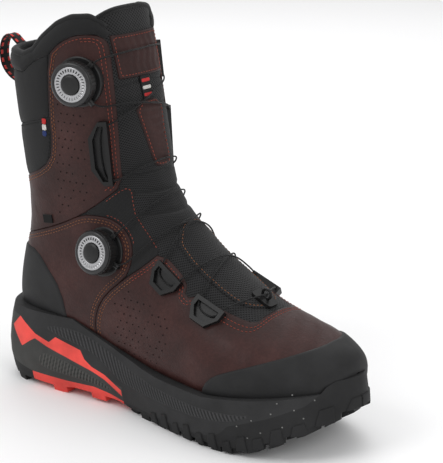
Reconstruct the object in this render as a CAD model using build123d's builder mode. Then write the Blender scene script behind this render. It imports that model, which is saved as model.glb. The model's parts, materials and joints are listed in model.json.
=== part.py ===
# A tall leather boot for the right foot, with a rubber lug sole and two dial lace closures.
# Millimetres, +X toward the toe, +Y toward the wearer's other foot (medial), +Z up.
# Lengths along the boot are measured from the back of the heel; ORIGIN_X shifts them so that the
# origin lies on the ground under the rear of the forefoot tread.

import os
from math import cos, hypot, pi, radians, sin

from build123d import *

os.makedirs("parts", exist_ok=True)

# ---------------------------------------------------------------- driving dimensions
ORIGIN_X = 130.0  # from the back of the heel to the origin
LEATHER = 2.0  # thickness of the leather, softshell and board layer
LINING_END = 6.0  # depth of the lining's inner face below the outside
STIFFENER = 1.2  # toe puff and heel stiffener, let into the outside of the lining
OVERLAY = 1.6  # rubber caps over the leather
PATCH = 1.2  # leather patches over the tongue
LUG = 4.5  # height of the tread lugs
RIM = 7.0  # width of the stabiliser clips on the side walls
LACE_RADIUS = 0.6
LACE_TUNNEL = 0.9  # radius of the tunnels the laces run in
LACE_BEND = 4.0
SIDES = {"lateral": -1, "medial": 1}

# Fan of section planes along the last, from the toe tip over the instep to the top of the shaft.
# front/top x, z; back/bottom x, z; split of the section; half widths lateral, medial; centre y;
# roundness of the front half and of the back half
STATIONS = [
    (291, 57, 291, 51, 0.50, 3, 3, 4, 2.0, 2.0),
    (288.5, 66, 288.5, 43, 0.50, 16, 15, 4, 2.0, 2.5),
    (281, 71, 281, 38, 0.45, 29, 25, 4, 2.1, 3.0),
    (267, 76, 267, 33, 0.42, 41, 35, 4, 2.2, 3.2),
    (247, 83, 247, 29, 0.40, 49, 44, 1, 2.2, 3.2),
    (218, 94, 215, 27, 0.38, 53, 47, -2, 2.1, 3.2),
    (194, 109, 180, 28, 0.36, 50, 44, -2, 2.1, 3.2),
    (172, 124, 140, 31, 0.36, 45, 40, -1, 2.1, 3.0),
    (155, 138, 100, 35, 0.38, 41, 38, 0, 2.2, 2.8),
    (144, 149, 60, 38, 0.40, 39, 37, 0, 2.3, 2.6),
    (137, 158, 25, 40, 0.42, 38, 36, 0, 2.4, 2.4),
    (133, 165, 6, 48, 0.44, 37, 36, 0, 2.4, 2.4),
    (130, 171, 1, 62, 0.45, 37, 36, 0, 2.5, 2.4),
    (127, 179, 4, 85, 0.46, 37, 36, 0, 2.6, 2.4),
    (124, 188, 11, 110, 0.48, 38, 37, 0, 2.7, 2.5),
    (120, 200, 14, 138, 0.50, 39, 38, 0, 2.8, 2.6),
    (115, 218, 12, 170, 0.50, 40, 39, 0, 2.9, 2.8),
    (109, 242, 8, 205, 0.50, 41, 40, 0, 3.0, 2.9),
    (102, 270, 5, 240, 0.50, 42, 41, 0, 3.0, 3.0),
    (97, 290, 4, 262, 0.50, 42, 41, 0, 3.0, 3.0),
]
# The toe stations give way partly along the boot, partly across it, when the section is inset.
TOE_INSET = {0: (1.0, 0.1), 1: (0.93, 0.37), 2: (0.74, 0.68), 3: (0.48, 0.88), 4: (0.25, 0.97)}
SECTION_POINTS = 24
ABOVE = 14.0  # how far the cutting bodies stand out of the top of the shaft

# Plan view of the sole, round from the back of the heel along the lateral side.
SOLE_PLAN = [
    (-10, 0), (0, -29), (28, -42), (80, -42), (120, -43), (170, -54), (212, -61),
    (248, -57), (274, -42), (291.5, -19), (298.5, 4), (288.5, 25), (270, 41), (244, 51),
    (200, 51), (150, 42), (110, 36), (70, 36), (30, 38), (2, 27),
]

# Side view lines, (x from heel, z), from the back to the front.
GROUND = [(-30, 14), (-4, 3.5), (12, 0), (60, 0), (72, 2.5), (116, 2.5), (127, 0), (226, 0),
          (245, 5), (262, 12), (280, 21.5), (300, 34), (320, 50)]
HEEL_RUBBER_TOP = [(-30, 38), (-2, 24), (12, 15), (32, 11.5)]
MIDFOOT_RUBBER_TOP = [(32, 11.5), (67, 11.5), (92, 12.5), (108, 10.5), (121, 8)]
FOREFOOT_RUBBER_TOP = [(121, 8), (166, 7.5), (193, 8.5), (213, 11), (222, 15.5), (229, 22.5),
                       (258, 33), (277, 41.5), (283, 48.5)]
BUMPER_TOP = [(283, 48.5), (285, 53), (288, 56), (320, 58)]
CLIP_LINE = [(-30, 56), (19, 52), (37, 41), (50, 37), (68, 33), (92, 27), (111, 21), (120, 20)]
RIB_LINE = [(120, 20), (192, 20), (229, 22.5)]
FRAME_TOP = [(-30, 59), (30, 59), (71, 60), (83, 56), (100, 50.5), (120, 45), (143, 40.5),
             (160, 38.5), (206, 38.5), (253, 44.5), (283, 48.5)]
BOARD_LINE = [(-30, 44), (25, 43), (60, 41.5), (100, 38.5), (140, 34.5), (180, 31.5), (215, 30.5),
              (248, 32.5), (269, 37), (284, 42.5), (320, 52)]
FOOTBED_LIFT = 7.5  # from the board line up to the top of the footbed

# Side view outlines of the upper's panels.
COLLAR_TOP = [(-30, 252), (30, 252), (42, 257), (51, 267), (65, 278), (76, 283), (88, 284),
              (94, 280), (98.5, 273)]
CUFF_BACK = [(44, 250), (30, 240), (-30, 238)]
SHAFT_TOP = [(55.5, 255), (68, 266), (80, 271.5), (92, 272.5), (97.5, 269)]
SHAFT_FRONT = [(100, 262.5), (105, 235), (109, 208), (111, 190), (112.5, 166)]
SHAFT_BACK = [(54.7, 210), (56.5, 193), (53.5, 177), (37, 166), (-30, 140)]
SOFTSHELL_SEAM = [(54.7, 210), (-30, 184)]
NOTCH_TOP = [(112.5, 166), (96, 152), (80.5, 141)]
QUARTER_TOP = [(80.5, 141), (60, 130.5), (31, 119.5), (-30, 97)]
ANKLE_PANEL = [(80.5, 141), (96.5, 142), (107.5, 140), (117, 134.5), (123, 127), (125.5, 118),
               (124.5, 109), (121.5, 101.5)]
VAMP_SEAM = [(121.5, 101.5), (104, 86), (96, 72.5), (92.5, 56), (91.5, 20)]
VAMP_REAR = [(121.5, 101.5), (138, 114), (147, 123.5)]
THROAT = [(147, 123.5), (173.5, 107.5), (175.5, 98), (186, 100.5), (209, 92), (222.5, 87.5),
          (229, 87), (229, 140)]
TONGUE_SEAM = [(112.5, 166), (119, 165), (121.5, 150), (127, 143), (142, 129), (147, 123.5)]
TOE_CAP = [(199, 34), (205, 46), (213, 54), (228, 60.5), (246, 67), (262, 72), (274, 75.5),
           (276, 100), (330, 100), (330, 56), (284, 44), (248, 34)]
HEEL_CAP = [(-30, 101), (20, 107), (36, 107), (49, 93), (61, 80), (65, 60), (65, 42), (-30, 44)]
LINING_SPLIT = [(-30, 98), (160, 150)]
TOE_PUFF = [(252, 44), (252, 90), (330, 90), (330, 60), (284, 50)]
HEEL_STIFFENER = [(-30, 50), (-30, 94), (30, 96), (50, 84), (58, 50)]

# Patches over the tongue: front view (y, z), and plan view (x from heel, y) for the lower one.
TOP_PATCH = [(-24, 271), (24, 271), (23, 241), (-23, 241)]
RIBBON = [(-5.5, 241), (5.5, 241), (5.5, 224), (-5.5, 224)]
FLEX_PATCH = [(-15, 224), (15, 224), (11, 201), (9, 181), (6, 178), (-6, 178), (-9, 181), (-11, 201)]
LOWER_PATCH = [(150, -19), (176, -24), (203, -24), (217, -18), (224, -6), (224, 6), (216, 16),
               (203, 20), (176, 20), (150, 17)]

# Fittings: foot on the boot's side (x from heel, z), lean of its length toward the toe in
# degrees, length and width. A dial also has the directions of its two lace ports.
DIALS = {"upper_dial": (83, 239, 50, -50), "lower_dial": (100, 117, 50, -25)}
DIAL_FOOT = 18.0  # radius of the flange on the leather
SPOOL_ROOM = 11.3  # radius of the room the spool turns in
PORT_HEIGHT = 3.6
LACE_GUIDES = {
    "shaft_guide_lateral": ("lateral", 99, 189, -6, 46, 15),
    "shaft_guide_medial": ("medial", 99, 189, -6, 46, 15),
    "collar_guide_medial": ("medial", 88, 245, -8, 27, 15),
    "ankle_guide_medial": ("medial", 104, 119, -25, 27, 15),
    "vamp_rear_guide_lateral": ("lateral", 156, 105.5, -58, 25, 17),
    "vamp_rear_guide_medial": ("medial", 156, 105.5, -58, 25, 17),
    "vamp_front_guide_lateral": ("lateral", 195, 90.5, -69, 25, 17),
    "vamp_front_guide_medial": ("medial", 195, 90.5, -69, 25, 17),
}
GUIDE_HEIGHT = 3.8
TAGS = {"stripe_tag": (50.5, 202, -2, 14, 4), "side_tag": (49, 133, -8, 6, 9)}
HOOK_FOOT = (217, -2, 94.5)  # x from heel, y, z on the leather over the instep
HOOK_LEAN = 26.2  # of its foot, toward the toe

# Pull loop in the boot's middle plane, (x from heel, z), and the upright line it swings about.
LOOP_PATH = [(12, 249), (2, 249.5), (-7, 250.5), (-15, 256), (-22, 254), (-25.5, 245), (-24, 234),
             (-17, 226), (-8, 222.5), (2, 222), (12, 222)]
LOOP_AXIS_X = -3.0
LOOP_WIDTH = 10.0
LOOP_THICK = 1.8
LOOP_END = 5.1  # radius of the loop's rounded ends
LOOP_GAP = 0.35

# Lace routes, (x from heel, y, z), each from its dial's top port round to its other port.
UPPER_LACE = [
    (91.5, -41, 248.5), (97.5, -39.5, 256), (104, -24.5, 258.5), (107, -12, 260), (107.5, -0.5, 260),
    (107, 11, 260.5), (104, 23.5, 259.5), (96, 35.5, 257), (87.5, 38.5, 254), (90, 38.5, 236),
    (99, 35, 235.5), (109.5, 24, 234.5), (114, 12, 231.5), (115.5, 0.5, 227.5), (116, -10.5, 223.5),
    (114, -23, 218), (106.5, -34.5, 210.5), (98, -37.5, 207.5), (101.5, -36.5, 170.5),
    (110.5, -33, 169.5), (122, -23, 178.5), (127.5, -11, 182.5), (128.5, 0, 183.5), (127.5, 11, 182.5),
    (122, 22.5, 178.5), (110.5, 32.5, 169.5), (101.5, 35.5, 170.5), (98, 37, 207.5), (106.5, 33.5, 210.5),
    (115, 21.5, 216.5), (118.5, 9, 220.5), (119, -2.5, 223), (116.5, -15, 224.5), (109.5, -28, 224.5),
    (97.5, -40, 222), (91.5, -41, 229.5),
]
LOWER_LACE = [
    (107.5, -38, 126.5), (113.5, -37, 133.5), (127, -27, 148), (135.5, -16.5, 157), (138.5, -4.5, 160.5),
    (138, 6, 160.5), (133.5, 17.5, 157), (123.5, 27, 148), (108, 33.5, 133), (100, 34.5, 127.5),
    (108, 36.5, 111), (117.5, 36, 113.5), (132, 31.5, 128), (143, 23, 138), (150.5, 13, 143.5),
    (156, 2, 145.5), (157.5, -10.5, 142), (155, -22.5, 132.5), (152.5, -32, 119), (149, -36.5, 110),
    (163, -38.5, 102.5), (170, -34.5, 109.5), (175.5, -25.5, 116), (180.5, -15, 120.5),
    (185, -3.5, 122.5), (187, 7, 119), (188, 17, 111.5), (189, 26.5, 103), (188, 33, 94.5),
    (203, 33, 88.5), (207.5, 26.5, 95.5), (211, 17, 97.5), (215, 8, 99), (219.5, -2, 100),
    (215, -13.5, 99), (211, -24.5, 97.5), (207.5, -35.5, 96), (203, -42, 89), (188, -41.5, 94.5),
    (188.5, -34.5, 102.5), (187.5, -23.5, 111), (186, -11.5, 116.5), (183.5, 0, 119.5),
    (180.5, 10.5, 119.5), (176, 20.5, 116), (170, 29, 109), (163, 33, 102), (149.5, 32.5, 110.5),
    (153, 28.5, 119.5), (155.5, 19.5, 132), (156.5, 8.5, 139), (155, -3, 142), (151, -15, 141),
    (144, -26, 135), (133, -34.5, 123.5), (119, -40.5, 108.5), (110.5, -40, 112.5),
]


# ---------------------------------------------------------------- helpers
def station_plane(front_x, front_z, back_x, back_z, middle_y, split, shift=0.0):
    """The section plane through a station's front and back points, local x toward the front."""
    dx, dz = front_x - back_x, front_z - back_z
    length = hypot(dx, dz)
    along = Vector(dx / length, 0, dz / length)
    normal = along.cross(Vector(0, 1, 0))
    origin = Vector(back_x + split * dx - ORIGIN_X, middle_y, back_z + split * dz) + normal * shift
    return Plane(origin=origin, x_dir=along, z_dir=normal), length


def section_points(length, split, lateral, medial, front_round, back_round, inset):
    """One closed rounded section, angle 0 being its front; the seam is on its medial back side."""
    points = []
    for i in range(SECTION_POINTS):
        angle = 2 * pi * i / SECTION_POINTS + 0.75 * pi
        c, s = cos(angle), sin(angle)
        power = front_round if c > 0 else back_round
        r = (abs(c) ** power + abs(s) ** power) ** (-1 / power)
        reach = ((1 - split) if c > 0 else split) * length - inset
        width = (medial if s > 0 else lateral) - inset
        points.append((reach * r * c, width * r * s))
    return points


def closed_curve(points):
    """A smooth closed curve; every section has the same parameters, so lofts stay light."""
    return Edge.make_spline(points, periodic=True, parameters=list(range(len(points) + 1)))


def boot_body(inset):
    """The solid inside the upper's outside face, inset by a distance; a cutter runs past the top."""
    with BuildPart() as body:
        for i, (fx, fz, bx, bz, split, lateral, medial, y, front, back) in enumerate(STATIONS):
            along, across = TOE_INSET.get(i, (0.0, 1.0))
            plane, length = station_plane(fx, fz, bx, bz, y, split, along * inset)
            with BuildSketch(plane):
                with BuildLine():
                    add(closed_curve(section_points(length, split, lateral, medial, front, back,
                                                    across * inset)))
                make_face()
        loft()
        if inset:
            extrude(body.faces().sort_by(Axis.Z)[-1], amount=ABOVE)
    return body.part


def side_block(points, side=0, reach=130.0):
    """A side view outline made solid across the boot: both halves, or the half on one side."""
    with BuildPart() as block:
        with BuildSketch(Plane.XZ):
            with BuildLine():
                Polyline(*[(x - ORIGIN_X, z) for x, z in points], close=True)
            make_face()
        extrude(amount=-side * reach if side else reach, both=not side)
    return block.part


def lifted(line, lift):
    """A side view line moved up."""
    return [(x, z + lift) for x, z in line]


def cut_from(solid, region, *removed):
    """The part of a solid inside a region, less what other pieces take out of it."""
    with BuildPart() as piece:
        add(solid)
        add(region, mode=Mode.INTERSECT)
        for other in removed:
            add(other, mode=Mode.SUBTRACT)
    return piece.part


def plan_points(inset):
    """The sole's plan outline, moved inward."""
    points = []
    count = len(SOLE_PLAN)
    for i, (x, y) in enumerate(SOLE_PLAN):
        ax, ay = SOLE_PLAN[i - 1]
        bx, by = SOLE_PLAN[(i + 1) % count]
        run = hypot(bx - ax, by - ay)
        points.append((x - ORIGIN_X - inset * (by - ay) / run, y + inset * (bx - ax) / run))
    return points


def sole_block(extra):
    """The whole sole's blank: undercut at the ground, upright, then leaning in to the upper."""
    levels = [(-1, 6.0), (8, 3.0), (20, 0.5), (30, 0.0), (40, 0.8), (50, 2.2), (58, 4.0),
              (66, 6.5), (72, 10.0)]
    with BuildPart() as blank:
        for z, inset in levels:
            with BuildSketch(Plane.XY.offset(z)):
                with BuildLine():
                    add(closed_curve(plan_points(inset + extra)))
                make_face()
        loft(ruled=True)
    return blank.part


def save(part, name):
    """Label a finished piece and write it."""
    part.label = name
    export_step(part, f"parts/{name}.step")


# ---------------------------------------------------------------- the boot's own surfaces
outside = boot_body(0)
under_leather = boot_body(LEATHER)
under_stiffener = boot_body(LEATHER + STIFFENER)
cavity = boot_body(LINING_END)
over_patch = boot_body(-PATCH)
over_cap = boot_body(-OVERLAY)

board_zone = side_block(BOARD_LINE + [(320, 0), (-30, 0)])
tongue_zone = side_block(
    [(84, 310), (88, 284), (94, 280), (98.5, 273), (97.5, 269)] + SHAFT_FRONT
    + TONGUE_SEAM[1:] + THROAT[1:] + [(229, 310)]
)

with BuildPart() as outer_layer:
    add(outside)
    add(under_leather, mode=Mode.SUBTRACT)
with BuildPart() as upper_layer:
    add(outer_layer.part)
    add(board_zone, mode=Mode.SUBTRACT)

# ---------------------------------------------------------------- upper: panels of the outer layer
insole_board = cut_from(outer_layer.part, board_zone)
save(insole_board, "insole_board")

panels = {
    "shaft": SHAFT_TOP + SHAFT_FRONT + NOTCH_TOP[1:] + QUARTER_TOP[1:] + SHAFT_BACK[::-1],
    "quarter": QUARTER_TOP[::-1] + ANKLE_PANEL[1:] + VAMP_SEAM[1:] + [(-30, 20)],
    "gusset": TONGUE_SEAM + VAMP_REAR[1::-1] + ANKLE_PANEL[-2::-1] + NOTCH_TOP[1:2],
}
for panel, outline in panels.items():
    for side, sign in SIDES.items():
        piece = cut_from(upper_layer.part, side_block(outline, sign))
        save(piece, f"{panel}_{side}")

vamp = cut_from(
    upper_layer.part,
    side_block(VAMP_SEAM[::-1] + VAMP_REAR[1:] + THROAT[1:] + [(330, 140), (330, 20)]),
)
save(vamp, "vamp")

softshell_upper = cut_from(
    upper_layer.part,
    side_block(SHAFT_TOP[:1] + SOFTSHELL_SEAM + CUFF_BACK[::-1]),
)
save(softshell_upper, "rear_softshell_upper")

softshell_lower = cut_from(upper_layer.part, side_block(SHAFT_BACK + SOFTSHELL_SEAM[1:]))
save(softshell_lower, "rear_softshell_lower")

collar_cuff = cut_from(
    upper_layer.part,
    side_block(COLLAR_TOP + SHAFT_TOP[::-1] + CUFF_BACK),
)
save(collar_cuff, "collar_cuff")

# ---------------------------------------------------------------- upper: tongue and its patches
with BuildPart() as tongue:
    add(outside)
    add(cavity, mode=Mode.SUBTRACT)
    add(tongue_zone, mode=Mode.INTERSECT)
save(tongue.part, "tongue")


def front_block(points):
    """A front view outline (y, z) made solid along the boot, over the front of the shaft."""
    with BuildPart() as block:
        with BuildSketch(Plane.YZ.offset(60 - ORIGIN_X)):
            with BuildLine():
                Polyline(*points, close=True)
            make_face()
        extrude(amount=100)
    return block.part


def plan_block(points, low, high):
    """A plan view outline (x from heel, y) made solid between two heights."""
    with BuildPart() as block:
        with BuildSketch(Plane.XY.offset(low)):
            with BuildLine():
                Polyline(*[(x - ORIGIN_X, y) for x, y in points], close=True)
            make_face()
        extrude(amount=high - low)
    return block.part


patches = {
    "tongue_top_patch": front_block(TOP_PATCH),
    "tongue_ribbon": front_block(RIBBON),
    "tongue_flex_patch": front_block(FLEX_PATCH),
    "tongue_lower_patch": plan_block(LOWER_PATCH, 70, 150),
}
for name, zone in patches.items():
    save(cut_from(over_patch, zone, outside), name)

# ---------------------------------------------------------------- upper: caps, lining, stiffeners
toe_cap = cut_from(over_cap, side_block(TOE_CAP), outside)
save(toe_cap, "toe_cap")

heel_cap = cut_from(over_cap, side_block(HEEL_CAP), outside)
save(heel_cap, "heel_cap")

toe_puff = cut_from(under_leather, side_block(TOE_PUFF), under_stiffener)
save(toe_puff, "toe_puff")

heel_stiffener = cut_from(under_leather, side_block(HEEL_STIFFENER), under_stiffener)
save(heel_stiffener, "heel_stiffener")

lining_shaft = cut_from(
    under_leather,
    side_block(LINING_SPLIT[:1] + COLLAR_TOP + [(160, 273)] + LINING_SPLIT[1:]),
    cavity,
    tongue_zone,
)
save(lining_shaft, "lining_shaft")

lining_foot = cut_from(
    under_leather,
    side_block(LINING_SPLIT + [(330, 150), (330, 0), (-30, 0)]),
    cavity,
    tongue_zone,
    toe_puff,
    heel_stiffener,
)
save(lining_foot, "lining_foot")

footbed = cut_from(cavity, side_block(lifted(BOARD_LINE, FOOTBED_LIFT) + [(320, 0), (-30, 0)]))
save(footbed, "footbed")

# ---------------------------------------------------------------- sole: foams, clips and shank
upper_room = [outside, toe_cap, heel_cap]
sole = sole_block(0)
sole_core = sole_block(RIM)

clip_zone = side_block(
    [(19, 52), (10, 43), (23, 30), (32.5, 36.5)] + [(x, z - 2) for x, z in CLIP_LINE[2:6]]
    + [(104, 21), (120, 12), (120, 17)] + [(104, 25), (92, 28.5), (85, 33), (81, 39), (57, 44),
                                          (51, 39), (37, 42.5)]
)
clips = {}
for side, sign in SIDES.items():
    half = side_block([(-30, 0), (200, 0), (200, 80), (-30, 80)], sign)
    with BuildPart() as clip:
        add(sole)
        add(sole_core, mode=Mode.SUBTRACT)
        add(clip_zone, mode=Mode.INTERSECT)
        add(half, mode=Mode.INTERSECT)
        for other in upper_room:
            add(other, mode=Mode.SUBTRACT)
    clips[side] = clip.part
    save(clip.part, f"stabiliser_{side}")

with BuildPart() as shank:
    with BuildSketch(Plane.XZ.offset(-16)):
        with BuildLine():
            Polyline(*[(x - ORIGIN_X, z) for x, z in [(98, 31), (188, 23), (188, 25), (98, 33)]],
                     close=True)
        make_face()
    extrude(amount=30)
save(shank.part, "shank")

frame_foot = CLIP_LINE[:-1] + RIB_LINE + FOREFOOT_RUBBER_TOP[6:]
midsole_frame = cut_from(
    sole, side_block(frame_foot + FRAME_TOP[-2::-1]), *upper_room, *clips.values(), shank.part
)
save(midsole_frame, "midsole_frame")

wedge_foot = HEEL_RUBBER_TOP + MIDFOOT_RUBBER_TOP[1:] + [(121, 19.9)]
heel_wedge = cut_from(sole, side_block(wedge_foot + CLIP_LINE[-2::-1]), *upper_room, *clips.values())
save(heel_wedge, "midsole_heel_wedge")

forefoot_foam = cut_from(
    sole, side_block([(121, 19.9)] + FOREFOOT_RUBBER_TOP[:6] + RIB_LINE[1::-1]), *upper_room
)
save(forefoot_foam, "midsole_forefoot")

# ---------------------------------------------------------------- sole: rubber with tread lugs
BASE_LINE = lifted(GROUND, LUG)


def tread(lug_zone, top_outline, lugs):
    """A rubber segment: its base, and lugs of (x from heel, y, length, width, turn) under it."""
    with BuildPart() as feet:
        for x, y, length, width, turn in lugs:
            with BuildSketch(Plane.XY.offset(-1)):
                with Locations(Location((x - ORIGIN_X, y), turn)):
                    Rectangle(length, width)
            extrude(amount=60)
        add(lug_zone, mode=Mode.INTERSECT)
        add(sole, mode=Mode.INTERSECT)
    with BuildPart() as rubber:
        add(sole)
        add(side_block(top_outline), mode=Mode.INTERSECT)
        add(feet.part)
        for other in upper_room:
            add(other, mode=Mode.SUBTRACT)
    return rubber.part


def base_between(first, last):
    """The base line between two lengths from the heel, with its ends worked out."""
    def height(x):
        for (ax, az), (bx, bz) in zip(BASE_LINE, BASE_LINE[1:]):
            if ax <= x <= bx:
                return az + (bz - az) * (x - ax) / (bx - ax)
    inner = [(x, z) for x, z in BASE_LINE if first < x < last]
    return [(first, height(first))] + inner + [(last, height(last))]


def lug_band(first, last):
    """The room of the lugs between two lengths: from the ground line to inside the base."""
    base = base_between(first, last)
    return side_block(lifted(base, -LUG) + lifted(base, 0.5)[::-1])


heel_lugs = [(x, y, 9, 17, turn) for x, turn in ((2, 8), (17, -8)) for y in (-33, -11, 11, 33)]
outsole_heel = tread(lug_band(-29, 32), base_between(-29, 32) + HEEL_RUBBER_TOP[::-1], heel_lugs)
save(outsole_heel, "outsole_heel")

midfoot_lugs = [(x, y, 13, 14, 0) for x in (58, 95) for y in (-36, 31)]
midfoot_lugs += [(x, -2, 9, 20, 0) for x in (50, 66, 88, 104)]
outsole_midfoot = tread(
    lug_band(32, 121), base_between(32, 121) + MIDFOOT_RUBBER_TOP[::-1], midfoot_lugs
)
save(outsole_midfoot, "outsole_midfoot")

forefoot_lugs = []
for row in range(12):
    x = 130 + 14.5 * row
    turn = 14 if row % 2 else -14
    for y in (-50, -26, -2, 22, 46):
        forefoot_lugs.append((x, y + (3 if row % 2 else -3), 8.5, 15, turn))
outsole_forefoot = tread(
    lug_band(121, 310),
    base_between(121, 310) + [(320, 58)] + (FOREFOOT_RUBBER_TOP + BUMPER_TOP[1:3])[::-1],
    forefoot_lugs,
)
save(outsole_forefoot, "outsole_forefoot")


# ---------------------------------------------------------------- fittings: seats on the upper
def seat(side, x, z, lean=0.0):
    """A plane on the boot's side: z outward, local y up the fitting, which leans to the toe."""
    sign = SIDES[side]
    ray = Axis((x - ORIGIN_X, sign * 150, z), (0, -sign, 0))
    hits = outside.find_intersection_points(ray)
    point, normal = max(hits, key=lambda hit: sign * hit[0].Y)
    if normal.Y * sign < 0:
        normal = normal * -1
    up = Vector(sin(radians(lean)), 0, cos(radians(lean)))
    forward = up.cross(normal).normalized()
    return Plane(origin=point, x_dir=forward, z_dir=normal)


def lace(route, radius):
    """A round cord along a route, rounded at its corners."""
    with BuildPart() as cord:
        with BuildLine() as line:
            FilletPolyline(*[(x - ORIGIN_X, y, z) for x, y, z in route], radius=LACE_BEND)
        with BuildSketch(line.line ^ 0):
            Circle(radius)
        sweep(path=line.line)
    return cord.part


def turned(plane, outline):
    """A solid of revolution about a seat's normal, from a half outline of (radius, height)."""
    with BuildPart() as solid:
        with BuildSketch(Plane(origin=plane.origin, x_dir=plane.x_dir, z_dir=-plane.y_dir)):
            with BuildLine():
                Polyline(*outline, close=True)
            make_face()
        revolve(axis=Axis(plane.origin, plane.z_dir))
    return solid.part


def plate(plane, low, high, outline):
    """An outline on a seat made solid between two heights."""
    with BuildPart() as solid:
        with BuildSketch(plane.offset(low)):
            with BuildLine():
                Polyline(*outline, close=True)
            make_face()
        extrude(amount=high - low)
    return solid.part


# ---------------------------------------------------------------- fittings: laces
for name, route in (("upper_lace", UPPER_LACE), ("lower_lace", LOWER_LACE)):
    save(lace(route, LACE_RADIUS), name)
tunnels = {
    "upper_dial": lace(UPPER_LACE[:3], LACE_TUNNEL) + lace(UPPER_LACE[-3:], LACE_TUNNEL),
    "lower_dial": lace(LOWER_LACE[:3], LACE_TUNNEL) + lace(LOWER_LACE[-3:], LACE_TUNNEL),
    "shaft_guide_lateral": lace(UPPER_LACE[15:21], LACE_TUNNEL),
    "shaft_guide_medial": lace(UPPER_LACE[24:30], LACE_TUNNEL),
    "collar_guide_medial": lace(UPPER_LACE[6:12], LACE_TUNNEL),
    "ankle_guide_medial": lace(LOWER_LACE[7:13], LACE_TUNNEL),
    "vamp_rear_guide_lateral": lace(LOWER_LACE[17:23], LACE_TUNNEL),
    "vamp_rear_guide_medial": lace(LOWER_LACE[45:50], LACE_TUNNEL),
    "vamp_front_guide_lateral": lace(LOWER_LACE[35:41], LACE_TUNNEL),
    "vamp_front_guide_medial": lace(LOWER_LACE[27:32], LACE_TUNNEL),
}

# ---------------------------------------------------------------- fittings: lace guides and hook
for name, (side, x, z, lean, length, width) in LACE_GUIDES.items():
    foot = seat(side, x, z, lean)
    front = width / 2 if side == "lateral" else -width / 2

    def six_sided(inset):
        """The guide's outline, its long edge toward the tongue."""
        tip, edge = length / 2 - inset, abs(front) - inset
        turn = edge if front > 0 else -edge
        return [(turn, tip), (turn * 0.1, tip), (-turn, tip / 2), (-turn, -tip / 2),
                (turn * 0.1, -tip), (turn, -tip)]

    with BuildPart() as guide:
        add(plate(foot, -4, GUIDE_HEIGHT, six_sided(0)))
        add(plate(foot, 0.8, GUIDE_HEIGHT + 1, six_sided(3)), mode=Mode.SUBTRACT)
        add(outside, mode=Mode.SUBTRACT)
        add(tunnels[name], mode=Mode.SUBTRACT)
    save(guide.part, name)

for name, (x, z, lean, length, width) in TAGS.items():
    with BuildPart() as tag:
        with BuildSketch(seat("lateral", x, z, lean).offset(-2)):
            Rectangle(width, length)
        extrude(amount=3)
        add(outside, mode=Mode.SUBTRACT)
    save(tag.part, name)

lean = radians(HOOK_LEAN)
hook_seat = Plane(
    origin=(HOOK_FOOT[0] - ORIGIN_X, HOOK_FOOT[1], HOOK_FOOT[2]),
    x_dir=(cos(lean), 0, -sin(lean)), z_dir=(sin(lean), 0, cos(lean)),
)
with BuildPart() as hook:
    with BuildSketch(hook_seat.offset(-2)):
        RectangleRounded(18, 12, 3)
    extrude(amount=5.2)
    add(over_patch, mode=Mode.SUBTRACT)
    with BuildSketch(hook_seat.offset(6.2)):
        with Locations((3.5, 0)):
            Circle(1.0)
    revolve(axis=Axis(hook_seat.origin + hook_seat.z_dir * 6.2, hook_seat.y_dir))
save(hook.part, "vamp_hook")

# ---------------------------------------------------------------- fittings: dials
for name, (x, z, *ports) in DIALS.items():
    foot = seat("lateral", x, z)
    with BuildPart() as base:
        add(turned(foot, [(0, -5.5), (DIAL_FOOT, -5.5), (DIAL_FOOT, 0.6), (DIAL_FOOT - 0.8, 1.2),
                          (14.5, 1.2), (14.5, 7), (0, 7)]))
        for port in ports:
            aim = foot.x_dir * cos(radians(port)) + foot.y_dir * sin(radians(port))
            mouth = foot.origin + foot.z_dir * PORT_HEIGHT + aim * 8
            with BuildSketch(Plane(origin=mouth, z_dir=aim)):
                Circle(1.9)
            extrude(amount=12)
        add(turned(foot, [(0, 2.2), (SPOOL_ROOM, 2.2), (SPOOL_ROOM, 8), (0, 8)]), mode=Mode.SUBTRACT)
        add(turned(foot, [(0, 0.6), (2.5, 0.6), (2.5, 3), (0, 3)]), mode=Mode.SUBTRACT)
        add(outside, mode=Mode.SUBTRACT)
        add(tunnels[name], mode=Mode.SUBTRACT)
    save(base.part, f"{name}_base")

    save(turned(foot, [(0, 0.6), (2.5, 0.6), (2.5, 13.2), (2.2, 13.5), (0, 13.5)]), f"{name}_pin")

    with BuildPart() as spool:
        add(turned(foot, [(2.55, 2.5), (10.9, 2.5), (10.9, 3.2), (8, 3.2), (8, 5.8), (10.9, 5.8),
                          (10.9, 6.8), (2.55, 6.8)]))
        with BuildSketch(foot.offset(6.8)):
            RegularPolygon(6.0, 6)
            Circle(2.55, mode=Mode.SUBTRACT)
        extrude(amount=2.1)
    save(spool.part, f"{name}_spool")

    with BuildPart() as knob:
        add(turned(foot, [(2.55, 7.4), (14.9, 7.4), (14.9, 5.8), (16.2, 5.8), (16.2, 11.4),
                          (15.7, 12), (2.55, 12)]))
        with BuildSketch(foot.offset(7.3)):
            RegularPolygon(6.2, 6)
        extrude(amount=2.0, mode=Mode.SUBTRACT)
        with BuildSketch(foot.offset(5)):
            with PolarLocations(16.5, 36):
                Circle(0.6)
        extrude(amount=8, mode=Mode.SUBTRACT)
    save(knob.part, f"{name}_knob")

    save(turned(foot, [(7.2, 12), (15.6, 12), (15.6, 12.8), (14.8, 13.6), (8.4, 13.6), (7.2, 12.9)]),
         f"{name}_ring")

    save(turned(foot, [(2.8, 12), (7, 12), (7, 14), (5.6, 14.7), (3, 15.1), (0, 15.2), (0, 13.8),
                       (2.8, 13.8)]), f"{name}_cap")

# ---------------------------------------------------------------- fittings: pull loop
with BuildPart() as strap:
    with BuildLine(Plane.XZ) as loop_line:
        Spline(*[(x - ORIGIN_X, z) for x, z in LOOP_PATH])
    with BuildSketch(Plane(origin=loop_line.line @ 0, x_dir=(0, 1, 0), z_dir=loop_line.line % 0)):
        Rectangle(LOOP_WIDTH, LOOP_THICK)
    sweep(path=loop_line.line)

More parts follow.
